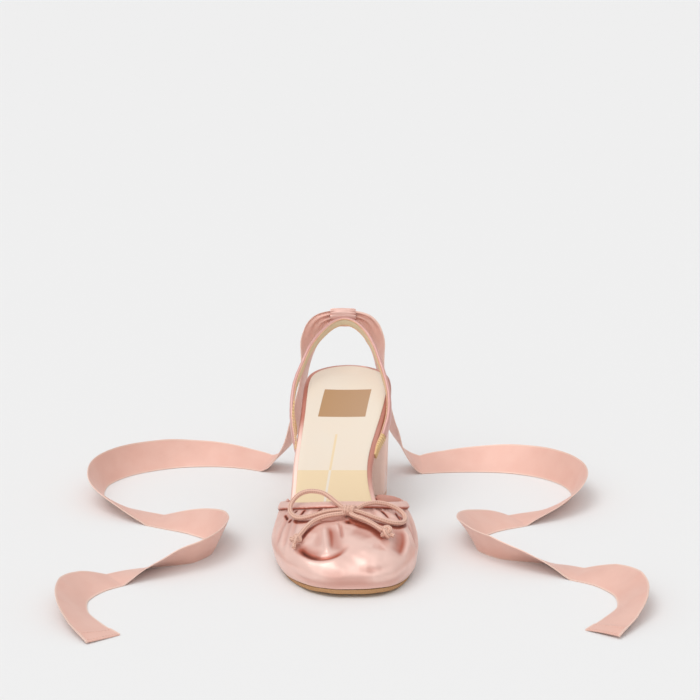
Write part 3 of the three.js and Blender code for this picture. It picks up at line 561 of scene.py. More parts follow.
def linear(code):
    """An sRGB hex colour as linear numbers."""
    parts = [int(code[i:i + 2], 16) / 255 for i in (0, 2, 4)]
    return (*(p / 12.92 if p <= 0.04045 else ((p + 0.055) / 1.055) ** 2.4 for p in parts), 1.0)


def feed(tree, node, inputs):
    """Sets a node's inputs to values, or links them where they are other nodes' outputs."""
    for name, value in inputs.items():
        if isinstance(value, bpy.types.NodeSocket):
            tree.links.new(value, node.inputs[name])
        else:
            node.inputs[name].default_value = value


def add_node(tree, kind, inputs, out=0, **settings):
    """Adds a node with its settings and links, and gives one of its outputs."""
    node = tree.nodes.new("ShaderNode" + kind)
    for name, value in settings.items():
        setattr(node, name, value)
    feed(tree, node, inputs)
    return node.outputs[out]


def new_material(name):
    """A material's tree with its surface node and the place of each point in metres."""
    material = bpy.data.materials.new(name)
    material.use_nodes = True
    tree = material.node_tree
    return material, tree, tree.nodes["Principled BSDF"], add_node(tree, "TexCoord", {}, "Object")


def grain(tree, place, size, detail=2.0, seed=0.0):
    """An uneven pattern whose spots are size millimetres across, or of three such sizes."""
    sizes = size if isinstance(size, tuple) else (size,) * 3
    scaled = add_node(tree, "Mapping", {
        "Vector": place, "Location": (seed, seed * 0.7, seed * 1.3),
        "Scale": tuple(1 / (s * MM) for s in sizes)})
    return add_node(tree, "TexNoise", {"Vector": scaled, "Scale": 1.0, "Detail": detail}, "Fac")


def duchess_satin(name, face, deep, shine=0.33, streak=(9.0, 0.5, 9.0)):
    """Woven polyester satin.

    Its long floats give broad, coloured highlights. The fold mark adds painted highlights on lit
    ridges, painted warm shade in folds and painted shadow in slits.
    """
    material, tree, surface, place = new_material(name)
    uneven = grain(tree, place, 22, 3.0)
    threads = grain(tree, place, streak, 2.0, 4.0)
    # The fold mark paints light and shade into the colour: a painted highlight on lit ridges below
    # 0, painted shade deep in folds up to 1 and painted shadow in slits up to 2, where the gloss is
    # lowered too
    fold = add_node(tree, "Attribute", {}, "Fac", attribute_name="fold")
    ridge = add_node(tree, "MapRange", {0: fold, 1: FOLD["lit"], 2: 0.0, 3: 0.75, 4: 0.0})
    lit = add_node(tree, "Mix", {0: ridge, 6: face, 7: linear(SATIN_LIT)}, 2, data_type="RGBA")
    tone = add_node(tree, "MapRange", {0: uneven, 1: 0.35, 2: 0.7, 3: 0.0, 4: 0.12})
    hollow = add_node(tree, "MapRange", {0: fold, 1: 0.0, 2: 1.0, 3: 0.0, 4: 0.92})
    share = add_node(tree, "Math", {0: tone, 1: hollow}, operation="ADD", use_clamp=True)
    folded = add_node(tree, "Mix", {0: share, 6: lit, 7: deep}, 2, data_type="RGBA")
    # Painted shadow deep in the slits
    slit_shadow = add_node(tree, "MapRange", {0: fold, 1: 1.0, 2: FOLD["dark"]})
    cloth = add_node(tree, "Mix", {0: slit_shadow, 6: folded, 7: linear(SATIN_SLIT_SHADOW)}, 2,
                     data_type="RGBA")
    feed(tree, surface, {
        "Base Color": cloth,
        "Roughness": add_node(tree, "MapRange", {0: threads, 1: 0.3, 2: 0.7, 3: 0.29, 4: 0.36}),
        "Specular IOR Level": add_node(tree, "MapRange", {0: fold, 1: 0.6, 2: 1.6, 3: 0.6, 4: 0.1}),
        "Normal": add_node(tree, "Bump", {
            "Height": threads, "Strength": 1.0, "Distance": 0.018 * MM}),
        "Metallic": shine, "IOR": 1.5, "Sheen Weight": 0.12, "Sheen Roughness": 0.4})
    return material


def ribbon_satin(name, face, deep, selvedge):
    """Woven satin ribbon: fine ribs across it, soft sheen and a paler thread at each selvedge."""
    material, tree, surface, place = new_material(name)
    along = add_node(tree, "Attribute", {}, "Fac", attribute_name="along")
    across = add_node(tree, "Attribute", {}, "Fac", attribute_name="across")
    # The real ribs are 0.25 mm apart, drawn at 0.8 mm so that they show
    turns = add_node(tree, "Math", {0: along, 1: 2 * math.pi / 0.8}, operation="MULTIPLY")
    ribs = add_node(tree, "Math", {0: turns}, operation="SINE")
    uneven = grain(tree, place, 14, 3.0)
    tone = add_node(tree, "MapRange", {0: uneven, 1: 0.35, 2: 0.7, 3: 0.0, 4: 0.35})
    body = add_node(tree, "Mix", {0: tone, 6: face, 7: deep}, 2, data_type="RGBA")
    from_middle = add_node(tree, "Math", {0: across}, operation="ABSOLUTE")
    edge = add_node(tree, "MapRange", {0: from_middle, 1: 0.452, 2: 0.462})
    feed(tree, surface, {
        "Base Color": add_node(tree, "Mix", {0: edge, 6: body, 7: selvedge}, 2, data_type="RGBA"),
        "Normal": add_node(tree, "Bump", {"Height": ribs, "Strength": 1.0, "Distance": 0.02 * MM}),
        "Metallic": 0.12, "Roughness": 0.46, "IOR": 1.5, "Specular IOR Level": 0.45,
        "Sheen Weight": 0.25, "Sheen Roughness": 0.35})
    return material


def braided_rayon(name, face, deep):
    """Braided rayon cord: matt strands that cross, with painted shade where they dip."""
    material, tree, surface, place = new_material(name)
    fibres = grain(tree, place, 0.35, 2.0)
    fold = add_node(tree, "Attribute", {}, "Fac", attribute_name="fold")
    dip = add_node(tree, "MapRange", {0: fold, 1: 0.0, 2: 1.0, 3: 0.0, 4: 0.85})
    feed(tree, surface, {
        "Base Color": add_node(tree, "Mix", {0: dip, 6: face, 7: deep}, 2, data_type="RGBA"),
        "Normal": add_node(tree, "Bump", {
            "Height": fibres, "Strength": 1.0, "Distance": 0.06 * MM}),
        "Roughness": 0.62, "IOR": 1.5, "Specular IOR Level": 0.35, "Sheen Weight": 0.35,
        "Sheen Roughness": 0.4})
    return material


def lining_leather(name, face, deep, grain_wide=0.8, rough=0.55):
    """Smooth lining leather: closed pores, a soft even gloss and slightly cloudy colour."""
    material, tree, surface, place = new_material(name)
    uneven = grain(tree, place, 18, 3.0)
    cloud = add_node(tree, "MapRange", {0: uneven, 1: 0.35, 2: 0.7, 3: 0.0, 4: 0.5})
    pores = grain(tree, place, grain_wide, 4.0, 3.0)
    feed(tree, surface, {
        "Base Color": add_node(tree, "Mix", {0: cloud, 6: face, 7: deep}, 2, data_type="RGBA"),
        "Normal": add_node(tree, "Bump", {"Height": pores, "Strength": 1.0, "Distance": 0.05 * MM}),
        "Roughness": rough, "IOR": 1.45, "Specular IOR Level": 0.4})
    return material


def within(tree, value, low, high, soft):
    """1 between two bounds and 0 outside them, with soft borders, all in metres."""
    over = add_node(tree, "MapRange", {0: value, 1: low - soft, 2: low + soft})
    under = add_node(tree, "MapRange", {0: value, 1: high - soft, 2: high + soft, 3: 1.0, 4: 0.0})
    return add_node(tree, "Math", {0: over, 1: under}, operation="MULTIPLY")


def two_tone_sock(name, colours):
    """Sock leather: cream at the heel, tan at the ball, a thin line and a bare pressed patch."""
    material, tree, surface, place = new_material(name)
    x, y, _ = add_node(tree, "SeparateXYZ", {"Vector": place}).node.outputs
    cx, cy, _ = SHOE_CENTRE
    fine = 0.12 * MM

    def before(bound):
        edge = (bound - cy) * MM
        return add_node(tree, "MapRange", {0: y, 1: edge - fine, 2: edge + fine, 3: 1.0, 4: 0.0})

    tan = before(SOCK_MARKS["tan_from"])
    uneven = grain(tree, place, 26, 2.0)
    cloud = add_node(tree, "MapRange", {0: uneven, 1: 0.35, 2: 0.7, 3: 0.0, 4: 0.6})
    cream = add_node(tree, "Mix", {0: cloud, 6: colours.sock_cream, 7: colours.sock_shade}, 2,
                     data_type="RGBA")
    ground = add_node(tree, "Mix", {0: tan, 6: cream, 7: colours.sock_tan}, 2, data_type="RGBA")
    (x_back, x_front), (y_back, y_front) = SOCK_MARKS["line_x"], SOCK_MARKS["line_y"]
    slope = (x_back - x_front) / (y_back - y_front)
    start = (x_back - cx - slope * (y_back - cy)) * MM
    sloped = add_node(tree, "Math", {0: y, 1: slope}, operation="MULTIPLY")
    middle = add_node(tree, "Math", {0: sloped, 1: start}, operation="ADD")
    off = add_node(tree, "Math", {0: x, 1: middle}, operation="SUBTRACT")
    half = SOCK_MARKS["line_wide"] / 2 * MM
    line = add_node(tree, "Math", {0: within(tree, off, -half, half, fine), 1: before(y_back)},
                    operation="MULTIPLY")
    line_colour = add_node(tree, "Mix", {0: tan, 6: colours.sock_tan, 7: colours.sock_shade}, 2,
                           data_type="RGBA")
    lined = add_node(tree, "Mix", {0: line, 6: ground, 7: line_colour}, 2, data_type="RGBA")
    left, right = ((v - cx) * MM for v in SOCK_MARKS["patch_x"])
    front, back = ((v - cy) * MM for v in SOCK_MARKS["patch_y"])
    from_middle = add_node(tree, "Math", {0: y, 1: (front + back) / 2}, operation="SUBTRACT")
    slant = add_node(tree, "Math", {0: from_middle, 1: SOCK_MARKS["patch_slant"]},
                     operation="MULTIPLY")
    square_x = add_node(tree, "Math", {0: x, 1: slant}, operation="SUBTRACT")
    patch = add_node(tree, "Math", {0: within(tree, square_x, left, right, fine),
                                    1: within(tree, y, front, back, fine)}, operation="MULTIPLY")
    # Painted reflection: the foil runs from dark at its outer side to light at its inner side
    fade = add_node(tree, "MapRange", {0: square_x, 1: left, 2: right})
    foil = add_node(tree, "Mix", {0: fade, 6: colours.patch_dark, 7: colours.patch_light}, 2,
                    data_type="RGBA")
    pores = grain(tree, place, 0.7, 4.0)
    deep = add_node(tree, "Math", {0: patch, 1: 2.0}, operation="MULTIPLY")
    pressed = add_node(tree, "Math", {0: pores, 1: deep}, operation="SUBTRACT")
    feed(tree, surface, {
        "Base Color": add_node(tree, "Mix", {0: patch, 6: lined, 7: foil}, 2, data_type="RGBA"),
        "Normal": add_node(tree, "Bump", {
            "Height": pressed, "Strength": 1.0, "Distance": 0.05 * MM}),
        "Roughness": add_node(tree, "MapRange", {0: patch, 1: 0.0, 2: 1.0, 3: 0.5, 4: 0.36}),
        "IOR": 1.45, "Specular IOR Level": 0.45})
    return material


def sole_leather(name, face, deep):
    """Vegetable tanned sole leather: pale fibres on the flat, darker where it is burnished."""
    material, tree, surface, place = new_material(name)
    fibres = grain(tree, place, (0.8, 2.6, 0.5), 4.0)
    share = add_node(tree, "MapRange", {0: fibres, 1: 0.3, 2: 0.75, 3: 0.0, 4: 0.6})
    feed(tree, surface, {
        "Base Color": add_node(tree, "Mix", {0: share, 6: face, 7: deep}, 2, data_type="RGBA"),
        "Normal": add_node(tree, "Bump", {
            "Height": fibres, "Strength": 1.0, "Distance": 0.06 * MM}),
        "Roughness": 0.6, "IOR": 1.5, "Specular IOR Level": 0.4})
    return material


def moulded_rubber(name, face, deep):
    """Moulded heel rubber: a dull, faintly speckled surface."""
    material, tree, surface, place = new_material(name)
    specks = grain(tree, place, 0.6, 3.0)
    share = add_node(tree, "MapRange", {0: specks, 1: 0.4, 2: 0.7, 3: 0.0, 4: 0.7})
    feed(tree, surface, {
        "Base Color": add_node(tree, "Mix", {0: share, 6: face, 7: deep}, 2, data_type="RGBA"),
        "Normal": add_node(tree, "Bump", {
            "Height": specks, "Strength": 1.0, "Distance": 0.05 * MM}),
        "Roughness": 0.72, "IOR": 1.52, "Specular IOR Level": 0.3})
    return material


def sewing_thread(name, face):
    """Spun polyester thread: small bright beads with a twist too fine to show."""
    material, tree, surface, place = new_material(name)
    twist = grain(tree, place, 0.3, 2.0)
    share = add_node(tree, "MapRange", {0: twist, 1: 0.3, 2: 0.7, 3: 0.0, 4: 0.3})
    feed(tree, surface, {
        "Base Color": add_node(tree, "Mix", {0: share, 6: face, 7: linear(THREAD_SHADE)}, 2,
                               data_type="RGBA"),
        "Roughness": 0.5, "IOR": 1.5, "Sheen Weight": 0.2})
    return material


# Pieces

def make_tie(settings, name, node, rows):
    """One ribbon tie: a flat cord with selvedges, gathered in the keeper and hemmed at its end."""
    middle = Spline(rows[:, :3])
    steps = 440
    share = middle.share_of_length(np.linspace(0, 1, steps))
    centre = middle.at(share)
    way = middle.direction(np.clip(share, 1e-4, 1 - 1e-4))
    left = unit(np.stack((-way[:, 1], way[:, 0], 0 * share), axis=-1))
    left = turned(left, way, column(rows, 3, share))
    face = np.cross(way, left)
    along = np.linspace(0, middle.length, steps)
    from_keeper = np.linalg.norm(centre - centre[0], axis=1)
    open_share = ease(KEEPER["long"] / 2, TIE["spread_over"], from_keeper)
    wide = mix(TIE["gathered"], TIE["wide"], open_share)
    hem = along > middle.length - settings.hem_long / MM
    thick = np.where(hem, 1.7, 1.0) * settings.ribbon_thick / MM
    across = np.linspace(-0.5, 0.5, 23)
    bead = 1 + 0.35 * (np.abs(across) > 0.455)
    pleats = np.outer(1.05 * (1 - open_share), np.sin(across * 6 * np.pi))
    cup = np.outer(0.5 + 0.5 * np.sin(along / 31), 4 * across**2 - 0.6) * 0.55
    grid = centre[:, None] + left[:, None] * (across[:, None] * wide[:, None, None])
    uneven = 0.28 * ripple(grid, 26, 5)
    lift = (pleats + (cup + uneven) * open_share[:, None])[..., None] * face[:, None]
    deep = (thick[:, None] * bead / 2)[..., None] * face[:, None]
    rings = np.concatenate((grid + lift + deep, (grid + lift - deep)[:, ::-1]), axis=1)
    low = rings[..., 2].min(axis=1)
    rings[..., 2] += np.maximum(0, 0.06 - low)[:, None]
    marks = {
        "along": np.repeat(along, rings.shape[1]),
        "across": np.tile(np.concatenate((across, across[::-1])), steps),
    }
    materials = finishes(settings)
    tie = add_piece(name, *lofted(rings), [materials["ribbon"]], "ribbon", [node], marks)
    thread = settings.thread_wide / MM
    stitches = []
    for back in (1.6, settings.hem_long / MM - 1.4):
        i = int(np.argmin(np.abs(along - (middle.length - back))))
        over, under = rings[i, :len(across)], rings[i, len(across):][::-1]
        for row, out in ((over, face[i]), (under, -face[i])):
            for k in range(1, len(across) - 2, 2):
                stitches.append(stitch(row[k], row[k] + (row[k + 1] - row[k]) * 1.35, out, thread))
    sewn = add_piece(name + "_stitches", *joined(stitches), [materials["thread"]], "ribbon")


def braid_shape(line, radius, pitch):
    """The cord's relief: plaits that run along it, crossed by strands that wind both ways."""
    along = np.concatenate(([0], np.cumsum(np.linalg.norm(np.diff(line, axis=0), axis=1))))
    strands = 4

    def relief(i, angles):
        turn = 2 * np.pi * along[i] / (pitch * 2 * strands)
        crossed = np.cos(strands * (angles + turn)) * np.cos(strands * (angles - turn))
        return 0.45 * crossed + 0.55 * np.cos(5 * angles + 0.4 * np.sin(along[i] / 6))

    def shape(i, angles):
        return radius * (0.95 + 0.09 * relief(i, angles))

    return shape, relief


def braided(line, radius, pitch, sides=24):
    """A braided cord along a line, with a mark of painted shade where its strands dip."""
    shape, relief = braid_shape(line, radius, pitch)
    rings = tube(line, radius, sides, shape)
    angles = np.linspace(0, 2 * np.pi, sides, endpoint=False)
    # Painted shade, darkest in the grooves between the strands
    dips = np.array([np.clip(0.1 - relief(i, angles), 0, 1) * 0.75 for i in range(len(line))])
    return rings, dips


def even_line(points, step):
    """A smooth line through points, cut into even steps."""
    curve = Spline(points)
    return curve.at(curve.share_of_length(np.linspace(0, 1, int(curve.length / step) + 2)))


def knot_wraps(radius, pitch):
    """The bow's knot: cords wrapped round its middle, with a mark of painted shade where their
    strands dip.
    """
    angles = np.linspace(0, 2 * np.pi, 60, endpoint=False)
    wraps, dips = [], []
    for shift, lean, tall in KNOT_WRAPS:
        line = np.array(BOW_KNOT) + np.stack((
            shift + lean * np.cos(angles), tall * np.cos(angles),
            2.3 * np.sin(angles) - 0.175 * tall * np.cos(angles)), axis=1)
        rings, dip = braided(line, radius * 0.95, pitch, 18)
        wraps.append(lofted(rings, endless=True))
        dips.append(dip.ravel())
    return (*joined(wraps), np.concatenate(dips))


def tied_end(row, radius, pitch):
    """A tail's end: an overhand knot of the cord, with its cut end sticking out."""
    turn = np.linspace(0, 2 * np.pi, 120, endpoint=False)
    spin = math.radians(row["turn"])
    flat = np.stack((np.sin(turn) + 2 * np.sin(2 * turn), np.cos(turn) - 2 * np.cos(2 * turn),
                     -1.5 * np.sin(3 * turn)), axis=1) * row["half"] / 4.6
    knotted = np.stack((flat[:, 0] * math.cos(spin) - flat[:, 2] * math.sin(spin), flat[:, 1],
                        flat[:, 0] * math.sin(spin) + flat[:, 2] * math.cos(spin)), axis=1)
    rings, dip = braided(knotted + row["at"], radius * 0.95, pitch, 16)
    stub = even_line([row["at"], np.mean((row["at"], row["end"]), axis=0), row["end"]], 0.3)
    stub_rings, stub_dip = braided(stub, radius * 0.9, pitch, 16)
    body = joined([lofted(rings, endless=True), lofted(stub_rings)])
    return (*body, np.concatenate((dip.ravel(), stub_dip.ravel())))


def make_bow(settings):
    """The drawstring's bow: two braided cords, the knot that wraps them and a knot at each end."""
    radius = settings.cord_wide / MM / 2
    pitch = settings.braid_pitch / MM
    cord_material = [finishes(settings)["cord"]]
    points, faces, dips = knot_wraps(radius, pitch)
    knot = add_piece("bow_knot_wrap", points, faces, cord_material, "bow_cord", ["bow_knot"],
                     {"fold": dips})
    ends = {}
    for side, row in END_KNOTS.items():
        points, faces, dips = tied_end(row, radius, pitch)
        ends[side] = add_piece(f"end_knot_{side}_tied", points, faces, cord_material, "bow_cord",
                               [f"end_knot_{side}"], {"fold": dips})
    for name, points, nodes, end in (
        ("bow_cord_outer", CORD_OUTER, ("bow_loop_outer", "bow_tail_inner"), ends["inner"]),
        ("bow_cord_inner", CORD_INNER, ("bow_loop_inner", "bow_tail_outer"), ends["outer"]),
    ):
        line = even_line(points, 0.3)
        rings, dip = braided(line, radius, pitch)
        cord = add_piece(name, *lofted(rings), cord_material, "bow_cord", nodes, {"fold": dip})


def gathers(settings, along_top, below_casing):
    """The drawstring's gathers: soft uneven pleats that come out from under the casing."""
    # Their distance, height and length all wander, so that no two are alike
    pitch = settings.gather_pitch / MM
    warped = (along_top / pitch + 0.55 * np.sin(along_top * 0.21)
              + 0.3 * np.sin(along_top * 0.53 + 1))
    pleat = np.cos(2 * np.pi * warped) + 0.4 * np.cos(2 * np.pi * 2.3 * warped + 1)
    size = 0.55 + 0.45 * np.sin(along_top * 0.37 + 0.6)
    long = 7 + 3 * np.sin(along_top * 0.47) + 2 * np.sin(along_top * 1.13 + 2)
    start = ease(-2.5, 1.0, below_casing)
    fade = np.exp(-((np.maximum(0, below_casing) / long) ** 1.4))
    return (0.42 * pleat * size - 0.35) * start * fade


def satin_relief(settings, points, along, below_casing):
    """How far the satin stands above its plain face in millimetres, and its painted light and
    shade.
    """
    along_top = np.broadcast_to((along * TOP.length)[:, None], below_casing.shape)
    relief = gathers(settings, along_top, below_casing)
    # Painted shade in the gathers' troughs and a painted highlight on their crests
    fold = np.clip(-relief / FOLD["gather_depth"], FOLD["gather_lit"], FOLD["gather_dark"])
    open_part = ease(-1, 5, below_casing)
    # Each crease adds its tone of painted shade, a painted highlight where the tone is below 0
    for wide, rise, tone, line in CREASES:
        far, share = near_line(points, Spline(line).at(np.linspace(0, 1, 17)))
        ends = ease(-0.1, 0.25, share) * ease(1.1, 0.75, share)
        if tone is None:
            tone = np.clip(-rise / FOLD["crease_depth"], FOLD["crease_lit"], 1)
        relief = relief + rise * ends * np.exp(-((far / wide) ** 2)) * open_part
        fold = fold + tone * ends * np.exp(-((far / wide / FOLD["spread"]) ** 2))
    uneven = 0.35 * ripple(points, 24, 11) + 0.1 * ripple(points, 9, 12)
    relief = relief + uneven * open_part
    sole_edge = ease(0, 6, points[..., 2] - 2.5)
    relief = relief * settings.pleat_depth * mix(0.15, 1.0, sole_edge)
    # The satin is drawn over the sole's edge at both sides
    side = ease(*SOLE_COVER["toe"], points[..., 1]) * ease(*SOLE_COVER["waist"], points[..., 1])
    level = (points[..., 2] - SOLE_COVER["height"]) / SOLE_COVER["reach"]
    relief = relief + SOLE_COVER["out"] * side * np.exp(-(level**2))
    # It lies under the bow's cords, and painted shadow darkens it before and below them, where
    # their shadow falls
    radius = settings.cord_wide / MM / 2
    for cord in (CORD_OUTER, CORD_INNER):
        line = even_line(cord, 2.0)
        far, _ = near_line(points, line)
        relief = np.minimum(relief, np.maximum(far - radius - 0.2, -0.6))
        shaded, _ = near_line(points, line + FOLD["cord_shadow"])
        cord_shade = np.exp(-((np.maximum(0, shaded - radius) / FOLD["shadow_soft"]) ** 2))
        fold = np.maximum(fold, FOLD["cord_shade"] * cord_shade)
    return relief, np.clip(fold, FOLD["lit"], FOLD["dark"])


def make_upper(settings):
    """The upper: one lined satin shell, gathered under the casing and pleated at the toe."""
    along = np.linspace(0, 1, 470)
    rise = 1 - (1 - np.linspace(0, 1, 104)) ** 1.15
    points, normal, _ = upper_frame(along[:, None], rise[None, :])
    cased, reached, fine_rise = casing_rise(along)
    climbed = np.array([np.interp(rise, fine_rise, row) for row in reached])
    edge = np.array([np.interp(r, fine_rise, row) for r, row in zip(cased, reached)])
    relief, fold = satin_relief(settings, points, along, edge[:, None] - climbed)
    outside = points + normal * relief[..., None]
    inside = points + normal * (np.minimum(relief * 0.85, relief + 0.3) - UPPER_WALL)[..., None]
    inside = inside[:, ::-2]
    rings = np.concatenate((outside, inside), axis=1)
    marks = {"fold": np.concatenate((fold, np.full(inside.shape[:2], 0.3)), axis=1)}
    sides = rings.shape[1]
    kinds = np.tile(np.where(np.arange(sides) < len(rise) - 1, 0, 1), len(along) - 1)
    kinds = np.concatenate((kinds, (0, 0)))
    materials = finishes(settings)
    add_piece("upper_satin", *lofted(rings), [materials["satin"], materials["lining"]], "satin",
              ["upper"], marks, kinds, sharp=70)


def make_casing(settings):
    """The drawstring casing: a puffed band of bias satin folded over the topline."""
    along = np.linspace(0, 1, 360)
    cased, reached, fine_rise = casing_rise(along)
    whole = reached[:, -1]
    down = np.minimum(CASING["inside"] / whole, 0.4)
    inner_edge = np.array([np.interp((1 - d) * w, row, fine_rise)
                           for d, w, row in zip(down, whole, reached)])
    along_top = along * TOP.length
    warp = along_top / (settings.gather_pitch / MM) + 0.32 * np.sin(along_top * 0.31)
    pucker = np.abs(np.sin(np.pi * (warp + 0.2 * np.sin(along_top * 0.83 + 1))))
    section = []

    def add(rise, out, lift):
        point, normal, up = upper_frame(along, rise)
        section.append(point + normal * out[:, None] + up * lift[:, None])

    zero = np.zeros(len(along))
    wing = ease(0, 0.1, 0.5 - np.abs(along - 0.5))
    pulled = 0.1 * (pucker - 0.6)
    near = mix(0.4, 1.0, ease(80, 45, np.abs(along_top - TOP.length / 2)))
    for t in np.linspace(0, 1, 12):
        puff = 0.5 * math.sin(math.pi * min(1, t * 1.02)) ** 0.8 * wing
        pull = near * ((1 - t) * pulled + 0.05 * np.sin(along_top * 1.9 + 9 * t))
        body = 0.7 * CASING["thick"] * math.sin(math.pi / 2 * min(1, t * 5)) ** 0.7
        add(mix(cased, 1.0, t), 0.38 + body + puff + pull, zero)
    top_out, top_in = 1.08, -UPPER_WALL - 0.75
    for t in np.linspace(0.12, 0.88, 7):
        turn = math.pi * t
        add(1 + zero, zero + mix(top_out, top_in, (1 - math.cos(turn)) / 2),
            (0.35 + 0.55 * wing) * math.sin(turn))
    for t in np.linspace(0, 1, 7):
        add(mix(1.0, inner_edge, t), zero + top_in - 0.15 * math.sin(math.pi * t), zero)
    add(inner_edge, zero - UPPER_WALL - 0.12, zero)
    for t in (0.6, 0.0):
        add(mix(1.0, inner_edge, t), zero - UPPER_WALL - 0.1, zero)
    add(1 + zero, zero - 0.8, zero + 0.12)
    for t in (1.0, 0.5, 0.0):
        add(mix(cased, 1.0, t), zero + 0.18, zero)
    rings = np.stack(section, axis=1)
    fold = np.zeros(rings.shape[:2])
    # Painted shade where the casing meets the upper, and inside the shoe
    fold[:, 0] = 1.4
    fold[:, 1] = 0.5
    fold[:, 18:] = 0.6
    fold[:, -3:] = 1.0
    add_piece("casing_satin", *lofted(rings), [finishes(settings)["bias"]], "satin_dusty",
              ["topline_casing"], {"fold": fold}, sharp=80)


def plank(left, right, under, over, columns, profile):
    """Rings across the shoe between two edges: a top and a bottom with points across, and sides.

    profile gives the sides from bottom to top as pairs of inset and share of the height.
    """
    side_way = unit(right - left)
    lows = under(left[:, None, 1], np.zeros(1))[:, 0], under(right[:, None, 1], np.ones(1))[:, 0]
    tops = over(left[:, None, 1], np.zeros(1))[:, 0], over(right[:, None, 1], np.ones(1))[:, 0]

    def wall(edge, way, low, top, rows):
        points = []
        for inset, level in rows:
            point = edge + way * inset
            point[:, 2] = mix(low, top, level)
            points.append(point)
        return np.stack(points, axis=1)

    left_wall = wall(left, side_way, lows[0], tops[0], profile)
    right_wall = wall(right, -side_way, lows[1], tops[1], profile[::-1])
    across = np.linspace(0, 1, columns)[1:-1]
    first, last = left + side_way * profile[-1][0], right - side_way * profile[-1][0]
    top = first[:, None] + (last - first)[:, None] * across[None, :, None]
    first, last = left + side_way * profile[0][0], right - side_way * profile[0][0]
    bottom = (first[:, None] + (last - first)[:, None] * across[None, :, None])[:, ::-1]
    top[..., 2] = over(top[..., 1], across)
    bottom[..., 2] = under(bottom[..., 1], across[::-1])
    return np.concatenate((left_wall, top, right_wall, bottom), axis=1)


def plank_shares(first=0.0, last=1.0):
    """Shares from toe to heel, closer together at both ends."""
    return mix(first, last, (1 - np.cos(np.linspace(0, math.pi, 170))) / 2)


def round_heel_end(rings, deep):
    """Adds short rings behind the last that shrink toward its middle, deep millimetres in all."""
    last = rings[-1]
    middle = (last.min(axis=0) + last.max(axis=0)) / 2
    added = []
    for turn in (0.35, 0.7, 1.0, 1.3):
        ring = middle + (last - middle) * (math.cos(turn) ** 0.6, 1, math.cos(turn) ** 0.5)
        ring[:, 1] += deep * math.sin(turn)
        added.append(ring)
    return np.concatenate((rings, added))


def make_footbed(settings):
    """The footbed: satin drawn over its edge, so that only a narrow margin shows round the sock."""
    share = plank_shares()
    left, right = edge_point("lateral", share, 0), edge_point("medial", share, 0)
    profile = ((1.2, 0), (0.3, 0.12), (0, 0.4), (0, 0.62), (0.25, 0.84), (0.75, 0.95), (1.6, 1))

    def on_board(y, across):
        # The satin's turn stands up a little round the heel
        rim = np.maximum(ease(218.5, 221, y), ease(0.9, 1, np.abs(2 * across - 1)))
        return footbed_top(y) - dish(y, across) + HEEL_LIP * rim * ease(176, 206, y)

    rings = plank(left, right, lambda y, a: footbed_under(y), on_board, 15, profile)
    rings = round_heel_end(rings, 0.9)
    y = rings[..., 1]
    inner = rings[..., 0] > (left[:, 0] + right[:, 0]).mean() / 2
    # Painted shade on the satin margin: on the inner side from the waist back and on the outer side
    # from the heel seat back, both fading somewhat at the heel's end
    inner_shade = 0.75 * ease(104, 126, y) * mix(1.0, 0.5, ease(196, 214, y))
    outer_shade = 0.9 * ease(148, 166, y) * mix(1.0, 0.6, ease(190, 210, y))
    fold = np.where(inner, inner_shade, outer_shade)
    add_piece("footbed_satin", *lofted(rings), [finishes(settings)["satin_wrap"]], "satin",
              ["footbed"], {"fold": fold}, sharp=75)


def make_sock(settings):
    """The sock lining: thin leather glued to the footbed, cream at the heel and tan at the ball."""
    share = plank_shares(SOCK["from"], SOCK["to"])
    left = edge_point("lateral", share, -SOCK["margin"])
    right = edge_point("medial", share, -SOCK["margin"])
    wide = np.linalg.norm(right - left, axis=1) + 2 * SOCK["margin"]

    def on_bed(y, across):
        inset = (SOCK["margin"] / wide)[:, None]
        return footbed_top(y) - dish(y, mix(inset, 1 - inset, across)) + MEET_GAP * 0.3

    rings = plank(left, right, on_bed, lambda y, a: on_bed(y, a) + SOCK["thick"], 19,
                  ((0.1, 0), (0, 0.4), (0.1, 0.8), (0.45, 1)))
    rings = round_heel_end(rings, 0.5)
    add_piece("sock_leather", *lofted(rings), [finishes(settings)["sock"]], "sock",
              ["sock_lining"], sharp=75)


def make_outsole(settings):
    """The outsole: sole leather with a burnished, slightly rounded edge."""
    share = plank_shares(0.0, share_at(HEEL["breast"] - HEEL["breast_gap"]))
    margin = eased(WELT_MARGIN, EDGE["lateral"].at(share)[:, 1])
    left, right = edge_point("lateral", share, margin), edge_point("medial", share, margin)
    profile = ((0.6, 0), (0.1, 0.25), (0, 0.5), (0.1, 0.75), (0.45, 1))
    rings = plank(left, right, lambda y, a: outsole_top(y) - OUTSOLE_THICK,
                  lambda y, a: outsole_top(y), 13, profile)
    wall = len(profile)
    place = np.arange(rings.shape[1])
    edge = (place < wall - 1) | ((place >= wall + 11) & (place < 2 * wall + 10))
    kinds = np.tile(np.where(edge, 1, 0), len(share) - 1)
    materials = finishes(settings)
    add_piece("outsole_leather", *lofted(rings), [materials["sole"], materials["sole_edge"]],
              "outsole", ["outsole"], None, np.concatenate((kinds, (1, 1))), sharp=75)


def heel_rows(y, down):
    """The heel's outer and inner edges at rows y, a share of the way down its height."""
    share = share_at(y)
    left = edge_point("lateral", share, -HEEL["inset"])
    right = edge_point("medial", share, -HEEL["inset"])
    near_breast = np.maximum(0, 1 - (y - HEEL["breast"]) / HEEL["corner"])
    corner = HEEL["corner"] * near_breast**2
    middle = (left + right) / 2
    for point, way in ((left, 1), (right, -1)):
        along = (point[:, 1] - HEEL["breast"]) / (LAST[-1, 0] - HEEL["breast"])
        off = point[:, 0] + way * corner - middle[:, 0]
        point[:, 0] = middle[:, 0] + off * mix(1, HEEL["taper"], down)
        point[:, 1] += down * mix(HEEL["lean"], -HEEL["back"], along)
    return left, right


